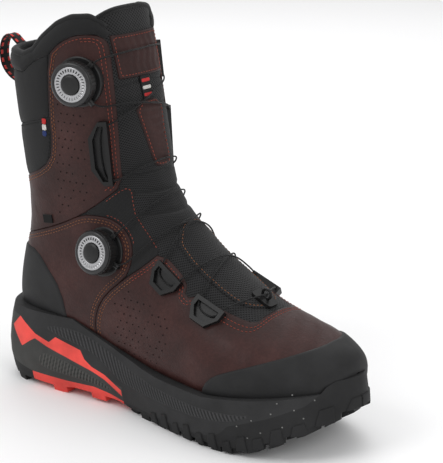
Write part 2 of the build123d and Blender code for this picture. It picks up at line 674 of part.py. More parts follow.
loop_axis = Vector(LOOP_AXIS_X - ORIGIN_X, 0, 200)
with BuildPart() as behind_axis:
    with BuildSketch(Plane(loop_axis)):
        with Locations((-20, 0)):
            Rectangle(40, 40)
        Circle(LOOP_END)
    extrude(amount=80)
with BuildPart() as swing_room:
    with BuildSketch(Plane(loop_axis)):
        with Locations((-20, 0)):
            Rectangle(40, 40)
        Circle(LOOP_END + LOOP_GAP)
    extrude(amount=80)
save(cut_from(strap.part, behind_axis.part), "pull_loop")
loop_ends = cut_from(strap.part, side_block([(-30, 200), (60, 200), (60, 270), (-30, 270)]),
                     swing_room.part, outside).solids().sort_by(Axis.Z)
save(loop_ends[-1], "pull_loop_upper_end")
save(loop_ends[0], "pull_loop_lower_end")
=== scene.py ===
# The boot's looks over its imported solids. Lengths in the tables and in the code's points are in
# millimetres from the back of the heel, as in the part's source; X0 is the origin's distance from
# there.
import json
import math

import bmesh
import bpy
import numpy as np
from mathutils import Matrix, Vector


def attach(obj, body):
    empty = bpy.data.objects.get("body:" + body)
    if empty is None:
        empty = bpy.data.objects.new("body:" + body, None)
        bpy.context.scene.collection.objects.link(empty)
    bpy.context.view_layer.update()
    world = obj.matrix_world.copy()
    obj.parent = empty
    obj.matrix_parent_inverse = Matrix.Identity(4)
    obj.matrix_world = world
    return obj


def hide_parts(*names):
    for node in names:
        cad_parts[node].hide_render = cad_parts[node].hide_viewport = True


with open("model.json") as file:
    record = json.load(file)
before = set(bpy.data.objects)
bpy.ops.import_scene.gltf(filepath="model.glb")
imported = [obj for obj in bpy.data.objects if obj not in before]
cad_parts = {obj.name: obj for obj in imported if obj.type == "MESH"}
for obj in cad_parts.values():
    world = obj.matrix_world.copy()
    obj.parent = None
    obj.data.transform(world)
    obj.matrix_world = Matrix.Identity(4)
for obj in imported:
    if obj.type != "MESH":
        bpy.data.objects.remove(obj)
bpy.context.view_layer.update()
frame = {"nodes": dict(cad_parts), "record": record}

X0 = 130.0
# Sections of the upper: front/top x, z; back/bottom x, z; split; half widths lateral, medial;
# centre y; roundness of the front half and of the back half.
STATIONS = [
    (291, 57, 291, 51, 0.50, 3, 3, 4, 2.0, 2.0),
    (288.5, 66, 288.5, 43, 0.50, 16, 15, 4, 2.0, 2.5),
    (281, 71, 281, 38, 0.45, 29, 25, 4, 2.1, 3.0),
    (267, 76, 267, 33, 0.42, 41, 35, 4, 2.2, 3.2),
    (247, 83, 247, 29, 0.40, 49, 44, 1, 2.2, 3.2),
    (218, 94, 215, 27, 0.38, 53, 47, -2, 2.1, 3.2),
    (194, 109, 180, 28, 0.36, 50, 44, -2, 2.1, 3.2),
    (172, 124, 140, 31, 0.36, 45, 40, -1, 2.1, 3.0),
    (155, 138, 100, 35, 0.38, 41, 38, 0, 2.2, 2.8),
    (144, 149, 60, 38, 0.40, 39, 37, 0, 2.3, 2.6),
    (137, 158, 25, 40, 0.42, 38, 36, 0, 2.4, 2.4),
    (133, 165, 6, 48, 0.44, 37, 36, 0, 2.4, 2.4),
    (130, 171, 1, 62, 0.45, 37, 36, 0, 2.5, 2.4),
    (127, 179, 4, 85, 0.46, 37, 36, 0, 2.6, 2.4),
    (124, 188, 11, 110, 0.48, 38, 37, 0, 2.7, 2.5),
    (120, 200, 14, 138, 0.50, 39, 38, 0, 2.8, 2.6),
    (115, 218, 12, 170, 0.50, 40, 39, 0, 2.9, 2.8),
    (109, 242, 8, 205, 0.50, 41, 40, 0, 3.0, 2.9),
    (102, 270, 5, 240, 0.50, 42, 41, 0, 3.0, 3.0),
    (97, 290, 4, 262, 0.50, 42, 41, 0, 3.0, 3.0),
]

# Plan view of the sole.
SOLE_PLAN = [
    (-10, 0), (0, -29), (28, -42), (80, -42), (120, -43), (170, -54), (212, -61),
    (248, -57), (274, -42), (291.5, -19), (298.5, 4), (288.5, 25), (270, 41), (244, 51),
    (200, 51), (150, 42), (110, 36), (70, 36), (30, 38), (2, 27),
]

# Side view lines and panel outlines, (x, z).
FRAME_TOP = [(-30, 59), (30, 59), (71, 60), (83, 56), (100, 50.5), (120, 45), (143, 40.5),
             (160, 38.5), (206, 38.5), (253, 44.5), (283, 48.5)]
BOARD_LINE = [(-30, 44), (25, 43), (60, 41.5), (100, 38.5), (140, 34.5), (180, 31.5), (215, 30.5),
              (248, 32.5), (269, 37), (284, 42.5), (320, 52)]
COLLAR_TOP = [(-30, 252), (30, 252), (42, 257), (51, 267), (65, 278), (76, 283), (88, 284),
              (94, 280), (98.5, 273)]
CUFF_BACK = [(44, 250), (30, 240), (-30, 238)]
SHAFT_TOP = [(55.5, 255), (68, 266), (80, 271.5), (92, 272.5), (97.5, 269)]
SHAFT_FRONT = [(100, 262.5), (105, 235), (109, 208), (111, 190), (112.5, 166)]
SHAFT_BACK = [(54.7, 210), (56.5, 193), (53.5, 177), (37, 166), (-30, 140)]
SOFTSHELL_SEAM = [(54.7, 210), (-30, 184)]
NOTCH_TOP = [(112.5, 166), (96, 152), (80.5, 141)]
QUARTER_TOP = [(80.5, 141), (60, 130.5), (31, 119.5), (-30, 97)]
ANKLE_PANEL = [(80.5, 141), (96.5, 142), (107.5, 140), (117, 134.5), (123, 127), (125.5, 118),
               (124.5, 109), (121.5, 101.5)]
VAMP_SEAM = [(121.5, 101.5), (104, 86), (96, 72.5), (92.5, 56), (91.5, 20)]
VAMP_REAR = [(121.5, 101.5), (138, 114), (147, 123.5)]
THROAT = [(147, 123.5), (173.5, 107.5), (175.5, 98), (186, 100.5), (209, 92), (222.5, 87.5),
          (229, 87), (229, 140)]
TONGUE_SEAM = [(112.5, 166), (119, 165), (121.5, 150), (127, 143), (142, 129), (147, 123.5)]
TOE_CAP = [(199, 34), (205, 46), (213, 54), (228, 60.5), (246, 67), (262, 72), (274, 75.5),
           (276, 100), (330, 100), (330, 56), (284, 44), (248, 34)]
HEEL_CAP = [(-30, 101), (20, 107), (36, 107), (49, 93), (61, 80), (65, 60), (65, 42), (-30, 44)]
LINING_SPLIT = [(-30, 98), (160, 150)]
# The pull loop swings about an upright line; its ends are round about that line, with a gap to the
# sewn part.
LOOP_AXIS_X, LOOP_END, LOOP_GAP = -3.0, 5.1, 0.35

# Front and plan view outlines over the tongue.
TOP_PATCH = [(-24, 271), (24, 271), (23, 241), (-23, 241)]
RIBBON = [(-5.5, 241), (5.5, 241), (5.5, 224), (-5.5, 224)]
FLEX_PATCH = [(-15, 224), (15, 224), (11, 201), (9, 181), (6, 178), (-6, 178), (-9, 181),
              (-11, 201)]
LOWER_PATCH = [(150, -19), (176, -24), (203, -24), (217, -18), (224, -6), (224, 6), (216, 16),
               (203, 20), (176, 20), (150, 17)]

LOOP_PATH = [(12, 249), (2, 249.5), (-7, 250.5), (-15, 256), (-22, 254), (-25.5, 245), (-24, 234),
             (-17, 226), (-8, 222.5), (2, 222), (12, 222)]

UPPER_LACE = [
    (91.5, -41, 248.5), (97.5, -39.5, 256), (104, -24.5, 258.5), (107, -12, 260),
    (107.5, -0.5, 260), (107, 11, 260.5), (104, 23.5, 259.5), (96, 35.5, 257), (87.5, 38.5, 254),
    (90, 38.5, 236), (99, 35, 235.5), (109.5, 24, 234.5), (114, 12, 231.5), (115.5, 0.5, 227.5),
    (116, -10.5, 223.5), (114, -23, 218), (106.5, -34.5, 210.5), (98, -37.5, 207.5),
    (101.5, -36.5, 170.5), (110.5, -33, 169.5), (122, -23, 178.5), (127.5, -11, 182.5),
    (128.5, 0, 183.5), (127.5, 11, 182.5), (122, 22.5, 178.5), (110.5, 32.5, 169.5),
    (101.5, 35.5, 170.5), (98, 37, 207.5), (106.5, 33.5, 210.5), (115, 21.5, 216.5),
    (118.5, 9, 220.5), (119, -2.5, 223), (116.5, -15, 224.5), (109.5, -28, 224.5),
    (97.5, -40, 222), (91.5, -41, 229.5),
]
LOWER_LACE = [
    (107.5, -38, 126.5), (113.5, -37, 133.5), (127, -27, 148), (135.5, -16.5, 157),
    (138.5, -4.5, 160.5), (138, 6, 160.5), (133.5, 17.5, 157), (123.5, 27, 148), (108, 33.5, 133),
    (100, 34.5, 127.5), (108, 36.5, 111), (117.5, 36, 113.5), (132, 31.5, 128), (143, 23, 138),
    (150.5, 13, 143.5), (156, 2, 145.5), (157.5, -10.5, 142), (155, -22.5, 132.5),
    (152.5, -32, 119), (149, -36.5, 110), (163, -38.5, 102.5), (170, -34.5, 109.5),
    (175.5, -25.5, 116), (180.5, -15, 120.5), (185, -3.5, 122.5), (187, 7, 119), (188, 17, 111.5),
    (189, 26.5, 103), (188, 33, 94.5), (203, 33, 88.5), (207.5, 26.5, 95.5), (211, 17, 97.5),
    (215, 8, 99), (219.5, -2, 100), (215, -13.5, 99), (211, -24.5, 97.5), (207.5, -35.5, 96),
    (203, -42, 89), (188, -41.5, 94.5), (188.5, -34.5, 102.5), (187.5, -23.5, 111),
    (186, -11.5, 116.5), (183.5, 0, 119.5), (180.5, 10.5, 119.5), (176, 20.5, 116),
    (170, 29, 109), (163, 33, 102), (149.5, 32.5, 110.5), (153, 28.5, 119.5), (155.5, 19.5, 132),
    (156.5, 8.5, 139), (155, -3, 142), (151, -15, 141), (144, -26, 135), (133, -34.5, 123.5),
    (119, -40.5, 108.5), (110.5, -40, 112.5),
]

# Sole: how far the wall stands in from the plan at heights, the ribbed bands, pale flecks in the
# rubber and the line that the forefoot's lugs stand on, (height, inset) or (x, z).
SOLE_LEVELS = [(-1, 6.0), (8, 3.0), (20, 0.5), (30, 0.0), (40, 0.8), (50, 2.2), (58, 4.0),
               (66, 6.5), (72, 10.0)]
RIB_BAND = [(43, 49.5), (60, 53), (83, 52), (105, 45), (142, 32.5), (190, 30), (228, 31), (250, 34),
            (228, 24.5), (190, 21.5), (124, 22), (108, 31), (90, 40.5), (60, 45.5)]
WEDGE_RIBS = [(44, 17), (80, 16), (112, 13), (106, 17), (90, 22), (66, 28), (46, 31), (40, 24)]
FLECKS = [(236, 24), (247, 30), (253, 22), (259, 36), (266, 27), (272, 39), (277, 33), (262, 44),
          (281, 45), (284, 36), (244, 17), (270, 50)]
GROUND_LINE = [(226, 0), (245, 5), (262, 12), (280, 21.5), (300, 34)]

# Dial faces: outlines to turn about the dial's axis, (radius, height over the joint).
SILVER = [(7.2, 12.3), (7.2, 13.1), (7.7, 13.5), (8.7, 13.5), (9.1, 13.5), (11.1, 13.5),
          (11.5, 13.5), (12.3, 13.5), (12.6, 13.0), (12.6, 12.3)]
BEZEL = [(12.7, 12.2), (12.7, 13.3), (13.1, 13.55), (14.4, 13.3), (15.3, 12.8), (15.6, 12.2)]


# ---- surfaces, in mm from the heel
def unit(vectors):
    return vectors / np.linalg.norm(vectors, axis=-1, keepdims=True)


def totals(steps):
    return np.concatenate([[0], np.cumsum(steps)])


def run_lengths(points):
    """The length along a line at each of its points."""
    return totals(np.linalg.norm(np.diff(points, axis=0), axis=1))


def row_steps(points):
    """The mean distance from each row of a grid to the next."""
    return np.linalg.norm(np.diff(points, axis=0), axis=2).mean(axis=1)


def spline_rows(rows, at, closed=False):
    """A cubic spline through equally spaced rows of numbers."""
    rows = np.asarray(rows, float)
    n = len(rows)
    a = np.zeros((n, n))
    b = np.zeros_like(rows)
    for i in range(n):
        if closed or 0 < i < n - 1:
            a[i, i - 1] += 1
            a[i, i] += 4
            a[i, (i + 1) % n] += 1
            b[i] = 6 * (rows[i - 1] - 2 * rows[i] + rows[(i + 1) % n])
    if not closed:
        a[0, :3] = (1, -2, 1)
        a[-1, -3:] = (1, -2, 1)
    bend = np.linalg.solve(a, b)
    at = np.asarray(at, float)
    i = np.floor(at).astype(int)
    i = i % n if closed else np.clip(i, 0, n - 2)
    j = (i + 1) % n
    t = (at - np.floor(at) if closed else at - i)[..., None]
    bulge = t * (1 - t) / 6 * ((2 - t) * bend[i] + (1 + t) * bend[j])
    return rows[i] * (1 - t) + rows[j] * t - bulge


class Grid:
    """A fine grid of points on a surface, with outward normals and lengths along and across it."""

    def __init__(self, points, probe, outward):
        """At the probe, a row and a column, the normals have to face along outward."""
        self.p = points
        self.x, self.y, self.z = np.moveaxis(points, -1, 0)
        self.along = np.gradient(points, axis=0)
        self.across = np.gradient(points, axis=1)
        self.across[:, 0] = self.across[:, -1] = (points[:, 1] - points[:, -2]) / 2
        facing = np.cross(self.along, self.across)
        n = facing / np.maximum(np.linalg.norm(facing, axis=2, keepdims=True), 1e-9)
        for _ in range(2):
            n[1:-1] = (n[:-2] + 2 * n[1:-1] + n[2:]) / 4
        self.n = unit(n)
        if self.n[probe] @ outward < 0:
            self.n *= -1
        self.mirrored = facing[probe] @ self.n[probe] < 0
        u, v = totals(row_steps(points)), totals(row_steps(points.swapaxes(0, 1)))
        uv = np.stack(np.broadcast_arrays(v[None, :], u[:, None]), axis=2)
        self.rows = np.concatenate([points, self.n, uv], axis=2)


def upper_points(u, v):
    """The upper's surface: u along the stations from the toe, v round each from its front."""
    fx, fz, bx, bz, split, lateral, medial, mid, front, back = np.moveaxis(
        spline_rows(STATIONS, u), -1, 0)
    dx, dz = fx - bx, fz - bz
    c, s = np.cos(v), np.sin(v)
    power = np.where(c > 0, front, back)
    r = (np.abs(c) ** power + np.abs(s) ** power) ** (-1 / power)
    reach = np.where(c > 0, 1 - split, split) * r * c
    y = mid - np.where(s > 0, lateral, medial) * r * s
    return np.stack([bx + (split + reach) * dx, y, bz + (split + reach) * dz], axis=-1)


UPPER_ROWS, UPPER_COLUMNS = 380, 331
station_u = np.linspace(0, len(STATIONS) - 1, 400)
angles = np.linspace(-math.pi, math.pi, UPPER_COLUMNS)
coarse = upper_points(station_u[:, None], angles[None, ::6])
run = totals(row_steps(coarse))
even_u = np.interp(np.linspace(0, run[-1], UPPER_ROWS), run, station_u)
upper = Grid(upper_points(even_u[:, None], angles[None, :]), (300, 165), (1, 0, 0.2))


def sole_outline(inset, at):
    """The sole's plan outline at one inset."""
    plan = np.array(SOLE_PLAN, float)
    run = unit(np.roll(plan, -1, axis=0) - np.roll(plan, 1, axis=0))
    return spline_rows(plan + inset * np.stack([-run[:, 1], run[:, 0]], axis=1), at, closed=True)


rounds = np.linspace(0, len(SOLE_PLAN), 900)
wall_points = []
for z in np.arange(1.0, 71.5, 0.75):
    flat = sole_outline(np.interp(z, *zip(*SOLE_LEVELS)), rounds)
    wall_points.append(np.concatenate([flat, np.full((len(flat), 1), z)], axis=1))
wall = Grid(np.array(wall_points), (40, 0), (-1, 0, 0))


# ---- regions
def smooth(outline, times):
    """An outline with its corners cut."""
    points = np.array(outline, float)
    for _ in range(times):
        following = np.roll(points, -1, axis=0)
        points = np.stack([points * 0.75 + following * 0.25, points * 0.25 + following * 0.75],
                          axis=1).reshape(-1, 2)
    return points


def depth(a, b, outline, times=0):
    """How far inside an outline, its corners cut some times, each point lies; negative outside."""
    points = smooth(outline, times)
    best = np.full(a.shape, 1e9)
    inside = np.zeros(a.shape, bool)
    for (ax, ay), (bx, by) in zip(points, np.roll(points, -1, axis=0)):
        dx, dy = bx - ax, by - ay
        t = np.clip(((a - ax) * dx + (b - ay) * dy) / max(dx * dx + dy * dy, 1e-9), 0, 1)
        best = np.minimum(best, (a - ax - t * dx) ** 2 + (b - ay - t * dy) ** 2)
        if by != ay:
            inside ^= ((ay > b) != (by > b)) & (a < ax + (b - ay) / (by - ay) * dx)
    return np.where(inside, 1, -1) * np.sqrt(best)


def side_depth(outline, times=0, grid=upper):
    return depth(grid.x, grid.z, outline, times)


def front_depth(outline, times=0):
    """The depth inside a front view outline, on the front of the upper only."""
    return np.where(upper.x > FRONT_X, depth(upper.y, upper.z, outline, times), -50)


above_board = upper.z - np.interp(upper.x, *zip(*BOARD_LINE))
TONGUE_ZONE = ([(84, 310), (88, 284), (94, 280), (98.5, 273), (97.5, 269)] + SHAFT_FRONT
               + TONGUE_SEAM[1:] + THROAT[1:] + [(229, 310)])
TONGUE_HALF, FRONT_X = 34.0, 80
tongue_end = upper.z.max() - 1.5 - 9.0 * np.clip(np.abs(upper.y) / TONGUE_HALF, 0, 1.2) ** 3.2
tongue_top = np.where(upper.x > FRONT_X, tongue_end - upper.z, 99.0)
tongue_depth = np.minimum(np.minimum(side_depth(TONGUE_ZONE), above_board), tongue_top)
collar_depth = side_depth(COLLAR_TOP + [(130, 273), (330, 200), (330, 0), (-60, 0), (-60, 252)])


# ---- meshes
def place(name, data):
    """A new object in the scene."""
    obj = bpy.data.objects.new(name, data)
    bpy.context.scene.collection.objects.link(obj)
    return obj


def belongs(obj, nodes=(), body="boot"):
    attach(obj, body)
    if nodes:
        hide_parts(*([nodes] if isinstance(nodes, str) else nodes))
    return obj


def make(name, vertices, faces, look, nodes=(), body="boot", uvs=None, edge=None,
         weld=False, outward=False):
    """A piece from vertices in mm from the heel: it rides on a body and stands for its nodes.

    Its look is the name of its material."""
    mesh = bpy.data.meshes.new(name)
    moved = (np.asarray(vertices, float) - (X0, 0, 0)) * 0.001
    mesh.from_pydata(moved.tolist(), [], faces)
    if uvs is not None:
        layer = mesh.uv_layers.new(name="lengths")
        index = np.empty(len(mesh.loops), int)
        mesh.loops.foreach_get("vertex_index", index)
        layer.data.foreach_set("uv", (np.asarray(uvs)[index] * 0.001).ravel())
    if edge is not None:
        values = mesh.attributes.new("edge", "FLOAT", "POINT")
        values.data.foreach_set("value", np.asarray(edge, float))
    work = bmesh.new()
    work.from_mesh(mesh)
    if weld:
        bmesh.ops.remove_doubles(work, verts=work.verts, dist=2e-6)
    if outward:
        bmesh.ops.recalc_face_normals(work, faces=work.faces)
    work.to_mesh(mesh)
    work.free()
    mesh.polygons.foreach_set("use_smooth", [True] * len(mesh.polygons))
    mesh.materials.append(MATERIALS[look])
    return belongs(place(name, mesh), nodes, body)


DEPTH = 8  # a row holds its point, its normal, two lengths on the surface, and this, its depth


class Columns:
    """The columns of rows by name: x, y, z, u round the surface, and d, the depth inside."""

    def __init__(self, rows):
        self.x, self.y, self.z = rows[:, :3].T
        self.u, self.d = rows[:, 6], rows[:, DEPTH]


def cut(polygon, level, above):
    """A polygon of rows, cut where the depth crosses a level."""
    out = []
    for p, q in zip(polygon, polygon[1:] + polygon[:1]):
        a, b = p[DEPTH] - level, q[DEPTH] - level
        if not above:
            a, b = -a, -b
        if a >= 0:
            out.append(p)
        if (a > 0 > b) or (a < 0 < b):
            out.append(p + (q - p) * (a / (a - b)))
    return out


def patch(name, inside, lift, look, nodes=(), slot=None, grid=upper, bands=(0.25, 0.8, 1.6),
          back=False, shade=None, step=1):
    """A sheet over the grid where inside is above zero, raised along its normals by lift.

    Its cells are divided at each of the bands of depth, for the roll of its edge. Its edge
    attribute, which materials read for painted shade, is the depth, or what shade gives."""
    data = np.concatenate([grid.rows, inside[..., None]], axis=2)[::step, ::step]
    inside = data[..., DEPTH]
    corners = inside[:-1, :-1], inside[1:, :-1], inside[:-1, 1:], inside[1:, 1:]
    low, high = np.min(corners, axis=0), np.max(corners, axis=0)
    top = bands[-1] if bands else 0.0
    full, part = low >= top, (high > 0) & (low < top)
    used = np.zeros(inside.shape, bool)
    for a in (slice(None, -1), slice(1, None)):
        for b in (slice(None, -1), slice(1, None)):
            used[a, b] |= full
    index = np.cumsum(used.ravel()).reshape(used.shape) - 1
    i, j = np.nonzero(full)
    faces = np.stack([index[i, j], index[i + 1, j], index[i + 1, j + 1], index[i, j + 1]],
                     axis=1).tolist()
    rows = data[used]
    count = len(rows)
    extra = []
    steps = [0.0, *bands, None]
    for i, j in zip(*np.nonzero(part)):
        cell = [data[i, j], data[i + 1, j], data[i + 1, j + 1], data[i, j + 1]]
        for lo, hi in zip(steps, steps[1:]):
            piece = cut(cell, lo, True)
            if hi is not None and len(piece) > 2:
                piece = cut(piece, hi, False)
            if len(piece) > 2:
                faces.append(list(range(count, count + len(piece))))
                extra.extend(piece)
                count += len(piece)
    if extra:
        rows = np.concatenate([rows, extra])
    columns = Columns(rows)
    vertices = rows[:, :3] + unit(rows[:, 3:6]) * lift(columns)[:, None]
    if grid.mirrored != back:
        faces = [f[::-1] for f in faces]
    edge = shade(columns) if shade else np.clip(columns.d / 8, 0, 1)
    return make(name, vertices, faces, look, nodes, uvs=rows[:, 6:8], edge=edge, weld=True)


def rolled(d, thick, radius, tuck=0.0):
    """Height of a sheet of some thickness, its edge rolled down over a radius and tucked in."""
    t = np.clip(d / radius, 0, 1)
    return thick * np.sqrt(np.maximum(0, 1 - (1 - t) ** 2)) - tuck * (d < 0.02)


def domed(d, high, reach):
    """Height of a pad that rises from its edge over a reach."""
    t = np.clip(d / reach, 0, 1)
    return high * np.sqrt(t * (2 - t))


def leather_lift(thick, base, grooves, wave):
    """Lift of a leather panel: rolled edge, pulled in along its stitch rows, and softly uneven."""
    def lift(r):
        h = base + rolled(r.d, thick, 1.2, 0.25)
        for at in grooves:
            h = h - 0.16 * np.exp(-((r.d - at) / 0.7) ** 2)
        return h + wave * np.clip(r.d / 12, 0, 1) * (
            np.sin(0.16 * r.x + 0.11 * r.z + 1.0) * np.sin(0.13 * r.z - 0.09 * r.y + 0.4)
            + 0.5 * np.sin(0.31 * r.x - 0.27 * r.z + 0.2 * r.y))
    return lift


def chains(inside, level, where):
    """The lines on the upper where inside equals a level, as arrays of rows, kept where asked."""
    data, f = upper.rows, inside - level
    links, spots = {}, {}

    def spot(i, j, k, l):
        t = f[i, j] / (f[i, j] - f[k, l])
        spots[i, j, k, l] = data[i, j] + (data[k, l] - data[i, j]) * t
        return i, j, k, l

    sign = f > 0
    cells = (sign[:-1, :-1] != sign[1:, 1:]) | (sign[1:, :-1] != sign[:-1, 1:]) | (
        sign[:-1, :-1] != sign[1:, :-1])
    for i, j in zip(*np.nonzero(cells)):
        found = [spot(a, b, c, d) for a, b, c, d in (
            (i, j, i, j + 1), (i, j + 1, i + 1, j + 1), (i + 1, j, i + 1, j + 1), (i, j, i + 1, j))
            if sign[a, b] != sign[c, d]]
        for a, b in zip(found[::2], found[1::2]):
            links.setdefault(a, []).append(b)
            links.setdefault(b, []).append(a)
    out, seen = [], set()
    for start in [k for k, v in links.items() if len(v) == 1] + list(links):
        line, at = [], start
        while at is not None and at not in seen:
            seen.add(at)
            line.append(spots[at])
            at = next((k for k in links[at] if k not in seen), None)
        if len(line) > 3:
            line = np.array(line)
            keep = where(*line[:, :3].T) if where else np.ones(len(line), bool)
            edges = np.flatnonzero(np.diff(np.concatenate([[0], keep.astype(int), [0]])))
            out += [line[a:b] for a, b in zip(edges[::2], edges[1::2]) if b - a > 3]
    return out


def even(line, pitch):
    """Rows at equal distances along a line."""
    run = run_lengths(line[:, :3])
    at = np.arange(pitch / 2, run[-1], pitch)
    return np.stack([np.interp(at, run, line[:, k]) for k in range(line.shape[1])], axis=1)


STITCH_PITCH, STITCH_LENGTH, STITCH_WIDTH, STITCH_HEIGHT = 2.9, 2.1, 0.5, 0.32


def stitches(name, lines, lift, look):
    """A row of raised stitches along each line: three rings of six points between two tips."""
    vertices, faces = [], []
    for line in lines:
        rows = even(line, STITCH_PITCH)
        if len(rows) < 2:
            continue
        run, normal = unit(np.gradient(rows[:, :3], axis=0)), unit(rows[:, 3:6])
        for p, t, n, b in zip(rows[:, :3], run, normal, np.cross(run, normal)):
            p = p + n * lift
            base = len(vertices)
            vertices.append(p - t * STITCH_LENGTH / 2 - n * 0.25)
            for at, size in ((-0.32, 0.8), (0.0, 1.0), (0.32, 0.8)):
                for a in np.arange(6) * math.pi / 3:
                    vertices.append(p + t * STITCH_LENGTH * at
                                    + b * math.cos(a) * STITCH_WIDTH / 2 * size
                                    + n * math.sin(a) * STITCH_HEIGHT * size)
            vertices.append(p + t * STITCH_LENGTH / 2 - n * 0.25)
            for k in range(6):
                m = (k + 1) % 6
                faces.append((base, base + 1 + m, base + 1 + k))
                faces.append((base + 1 + k, base + 1 + m, base + 7 + m, base + 7 + k))
                faces.append((base + 7 + k, base + 7 + m, base + 13 + m, base + 13 + k))
                faces.append((base + 19, base + 13 + k, base + 13 + m))
    make(name, vertices, faces, look)


def nearest(grid, x, z, sign):
    """Row and column of a grid's point at a side view place; sign -1 is the lateral side."""
    other_side = np.where(grid.y * sign > 0, 0, 1e6)
    k = np.argmin((grid.x - x) ** 2 + (grid.z - z) ** 2 + other_side)
    return np.unravel_index(k, grid.x.shape)


def on_side(x, z, sign):
    """Point and normal of the upper at a side view place."""
    at = nearest(upper, x, z, sign)
    p, tu, tv = upper.p[at], upper.along[at], upper.across[at]
    m = np.array([[tu[0], tv[0]], [tu[2], tv[2]]])
    if abs(np.linalg.det(m)) > 1e-3:
        step = np.linalg.solve(m, np.array([x - p[0], z - p[2]]))
        p = p + tu * step[0] + tv * step[1]
    return p, upper.n[at]


def dots(name, spots, lift, radius, look, sides=8):
    """Small flat discs just over a surface."""
    vertices = []
    for p, n in spots:
        t = unit(np.cross(n, (0, 0, 1.0)))
        b = np.cross(n, t)
        for a in np.arange(sides) * 2 * math.pi / sides:
            vertices.append(p + n * lift + (t * math.cos(a) + b * math.sin(a)) * radius)
    faces = np.arange(len(vertices)).reshape(-1, sides).tolist()
    make(name, vertices, faces, look)


def loft(name, rings, look, nodes=(), body="boot", uvs=None, turned=False):
    """A skin through rings of points, its ends closed, or joined to each other if it is turned."""
    rings = np.array(rings)
    n, sides = rings.shape[:2]
    faces = [(k * sides + s, (k + 1) % n * sides + s, (k + 1) % n * sides + (s + 1) % sides,
              k * sides + (s + 1) % sides)
             for k in range(n if turned else n - 1) for s in range(sides)]
    if not turned:
        faces += [list(range(sides)), list(range(n * sides - 1, (n - 1) * sides - 1, -1))]
    return make(name, rings.reshape(-1, 3), faces, look, nodes, body, uvs, outward=True)


def tube(name, rows, radius, squeeze, look):
    """A padded tube along rows of points and normals, flattened across by squeeze."""
    points, sides = rows[:, :3], 12
    run = unit(np.gradient(points, axis=0))
    across = unit(np.cross(run, rows[:, 3:6]))
    normal = np.cross(across, run)
    a = np.arange(sides) * 2 * math.pi / sides
    rings = (points[:, None] + normal[:, None] * np.cos(a)[:, None] * radius
             + across[:, None] * np.sin(a)[:, None] * radius * squeeze)
    uvs = np.stack(np.broadcast_arrays(np.arange(sides) * radius * 6.3 / sides,
                                       run_lengths(points)[:, None]), axis=2)
    return loft(name, rings, look, uvs=uvs.reshape(-1, 2))


# ---- materials
MATERIALS = {}  # by name; most are named after the record's slot that they show


class Shader:
    """A small helper for building one node material, which it adds to the materials."""

    def __init__(self, name, color, roughness, specular=0.22, metallic=0.0, sheen=0.0, coat=0.0):
        self.material = MATERIALS[name] = bpy.data.materials.new(name)
        self.material.use_nodes = True
        self.nodes = self.material.node_tree.nodes
        self.links = self.material.node_tree.links
        self.main = self.nodes["Principled BSDF"]
        values = {"Base Color": (*color, 1), "Roughness": roughness, "Metallic": metallic,
                  "Specular IOR Level": specular}
        if sheen:
            values.update({"Sheen Weight": sheen, "Sheen Roughness": 0.5})
        if coat:
            values.update({"Coat Weight": coat, "Coat Roughness": 0.35})
        for socket, value in values.items():
            self.main.inputs[socket].default_value = value
        self.bump = None
        self.spot = self.nodes.new("ShaderNodeTexCoord")

    def add(self, kind, inputs=None, **settings):
        """A new node with its settings, and inputs that are values or other nodes' outputs."""
        node = self.nodes.new(kind)
        for key, value in settings.items():
            setattr(node, key, value)
        for key, value in (inputs or {}).items():
            if isinstance(value, bpy.types.NodeSocket):
                self.links.new(value, node.inputs[key])
            else:
                node.inputs[key].default_value = value
        return node

    def coords(self, source="Object", scale=(1, 1, 1), turn=0.0):
        return self.add("ShaderNodeMapping", {
            "Scale": scale, "Rotation": (0, 0, turn),
            "Vector": self.spot.outputs[source]}).outputs["Vector"]

    def noise(self, scale, detail, stretch=(1, 1, 1)):
        return self.add("ShaderNodeTexNoise", {
            "Scale": scale, "Detail": detail, "Roughness": 0.55,
            "Vector": self.coords(scale=stretch)}).outputs["Fac"]

    def cells(self, scale):
        return self.add("ShaderNodeTexVoronoi", {"Scale": scale, "Vector": self.coords()},
                        feature="SMOOTH_F1").outputs["Distance"]

    def wave(self, scale, direction, turn):
        return self.add("ShaderNodeTexWave", {
            "Scale": scale, "Vector": self.coords("UV", turn=turn)},
            bands_direction=direction).outputs["Fac"]

    def sums(self, operation, a, b):
        return self.add("ShaderNodeMath", {0: a, 1: b}, operation=operation).outputs[0]

    def edge(self):
        return self.add("ShaderNodeAttribute", attribute_name="edge").outputs["Fac"]

    def ramp(self, value, stops):
        node = self.add("ShaderNodeValToRGB", {"Fac": value})
        while len(node.color_ramp.elements) < len(stops):
            node.color_ramp.elements.new(0.5)
        for element, (at, color) in zip(node.color_ramp.elements, stops):
            element.position = at
            element.color = (*color, 1)
        return node.outputs["Color"]

    def color(self, value, *stops):
        self.links.new(self.ramp(value, stops), self.main.inputs["Base Color"])

    def tint(self, value, base, dark):
        """The base colour, mixed toward a darker one where value is high."""
        node = self.add("ShaderNodeMix", {"Factor": value, "A": base, "B": (*dark, 1)},
                        data_type="RGBA")
        self.links.new(node.outputs["Result"], self.main.inputs["Base Color"])

    def rough(self, value, low, high):
        node = self.add("ShaderNodeMapRange", {"To Min": low, "To Max": high, "Value": value})
        self.links.new(node.outputs["Result"], self.main.inputs["Roughness"])

    def relief(self, value, strength, distance):
        node = self.add("ShaderNodeBump", {
            "Strength": strength, "Distance": distance, "Height": value})
        if self.bump is not None:
            self.links.new(self.bump, node.inputs["Normal"])
        self.bump = node.outputs["Normal"]
        self.links.new(self.bump, self.main.inputs["Normal"])


def grey(v):
    return (v, v, v * 1.03)


def shaded(color, factor):
    return tuple(c * factor for c in color)


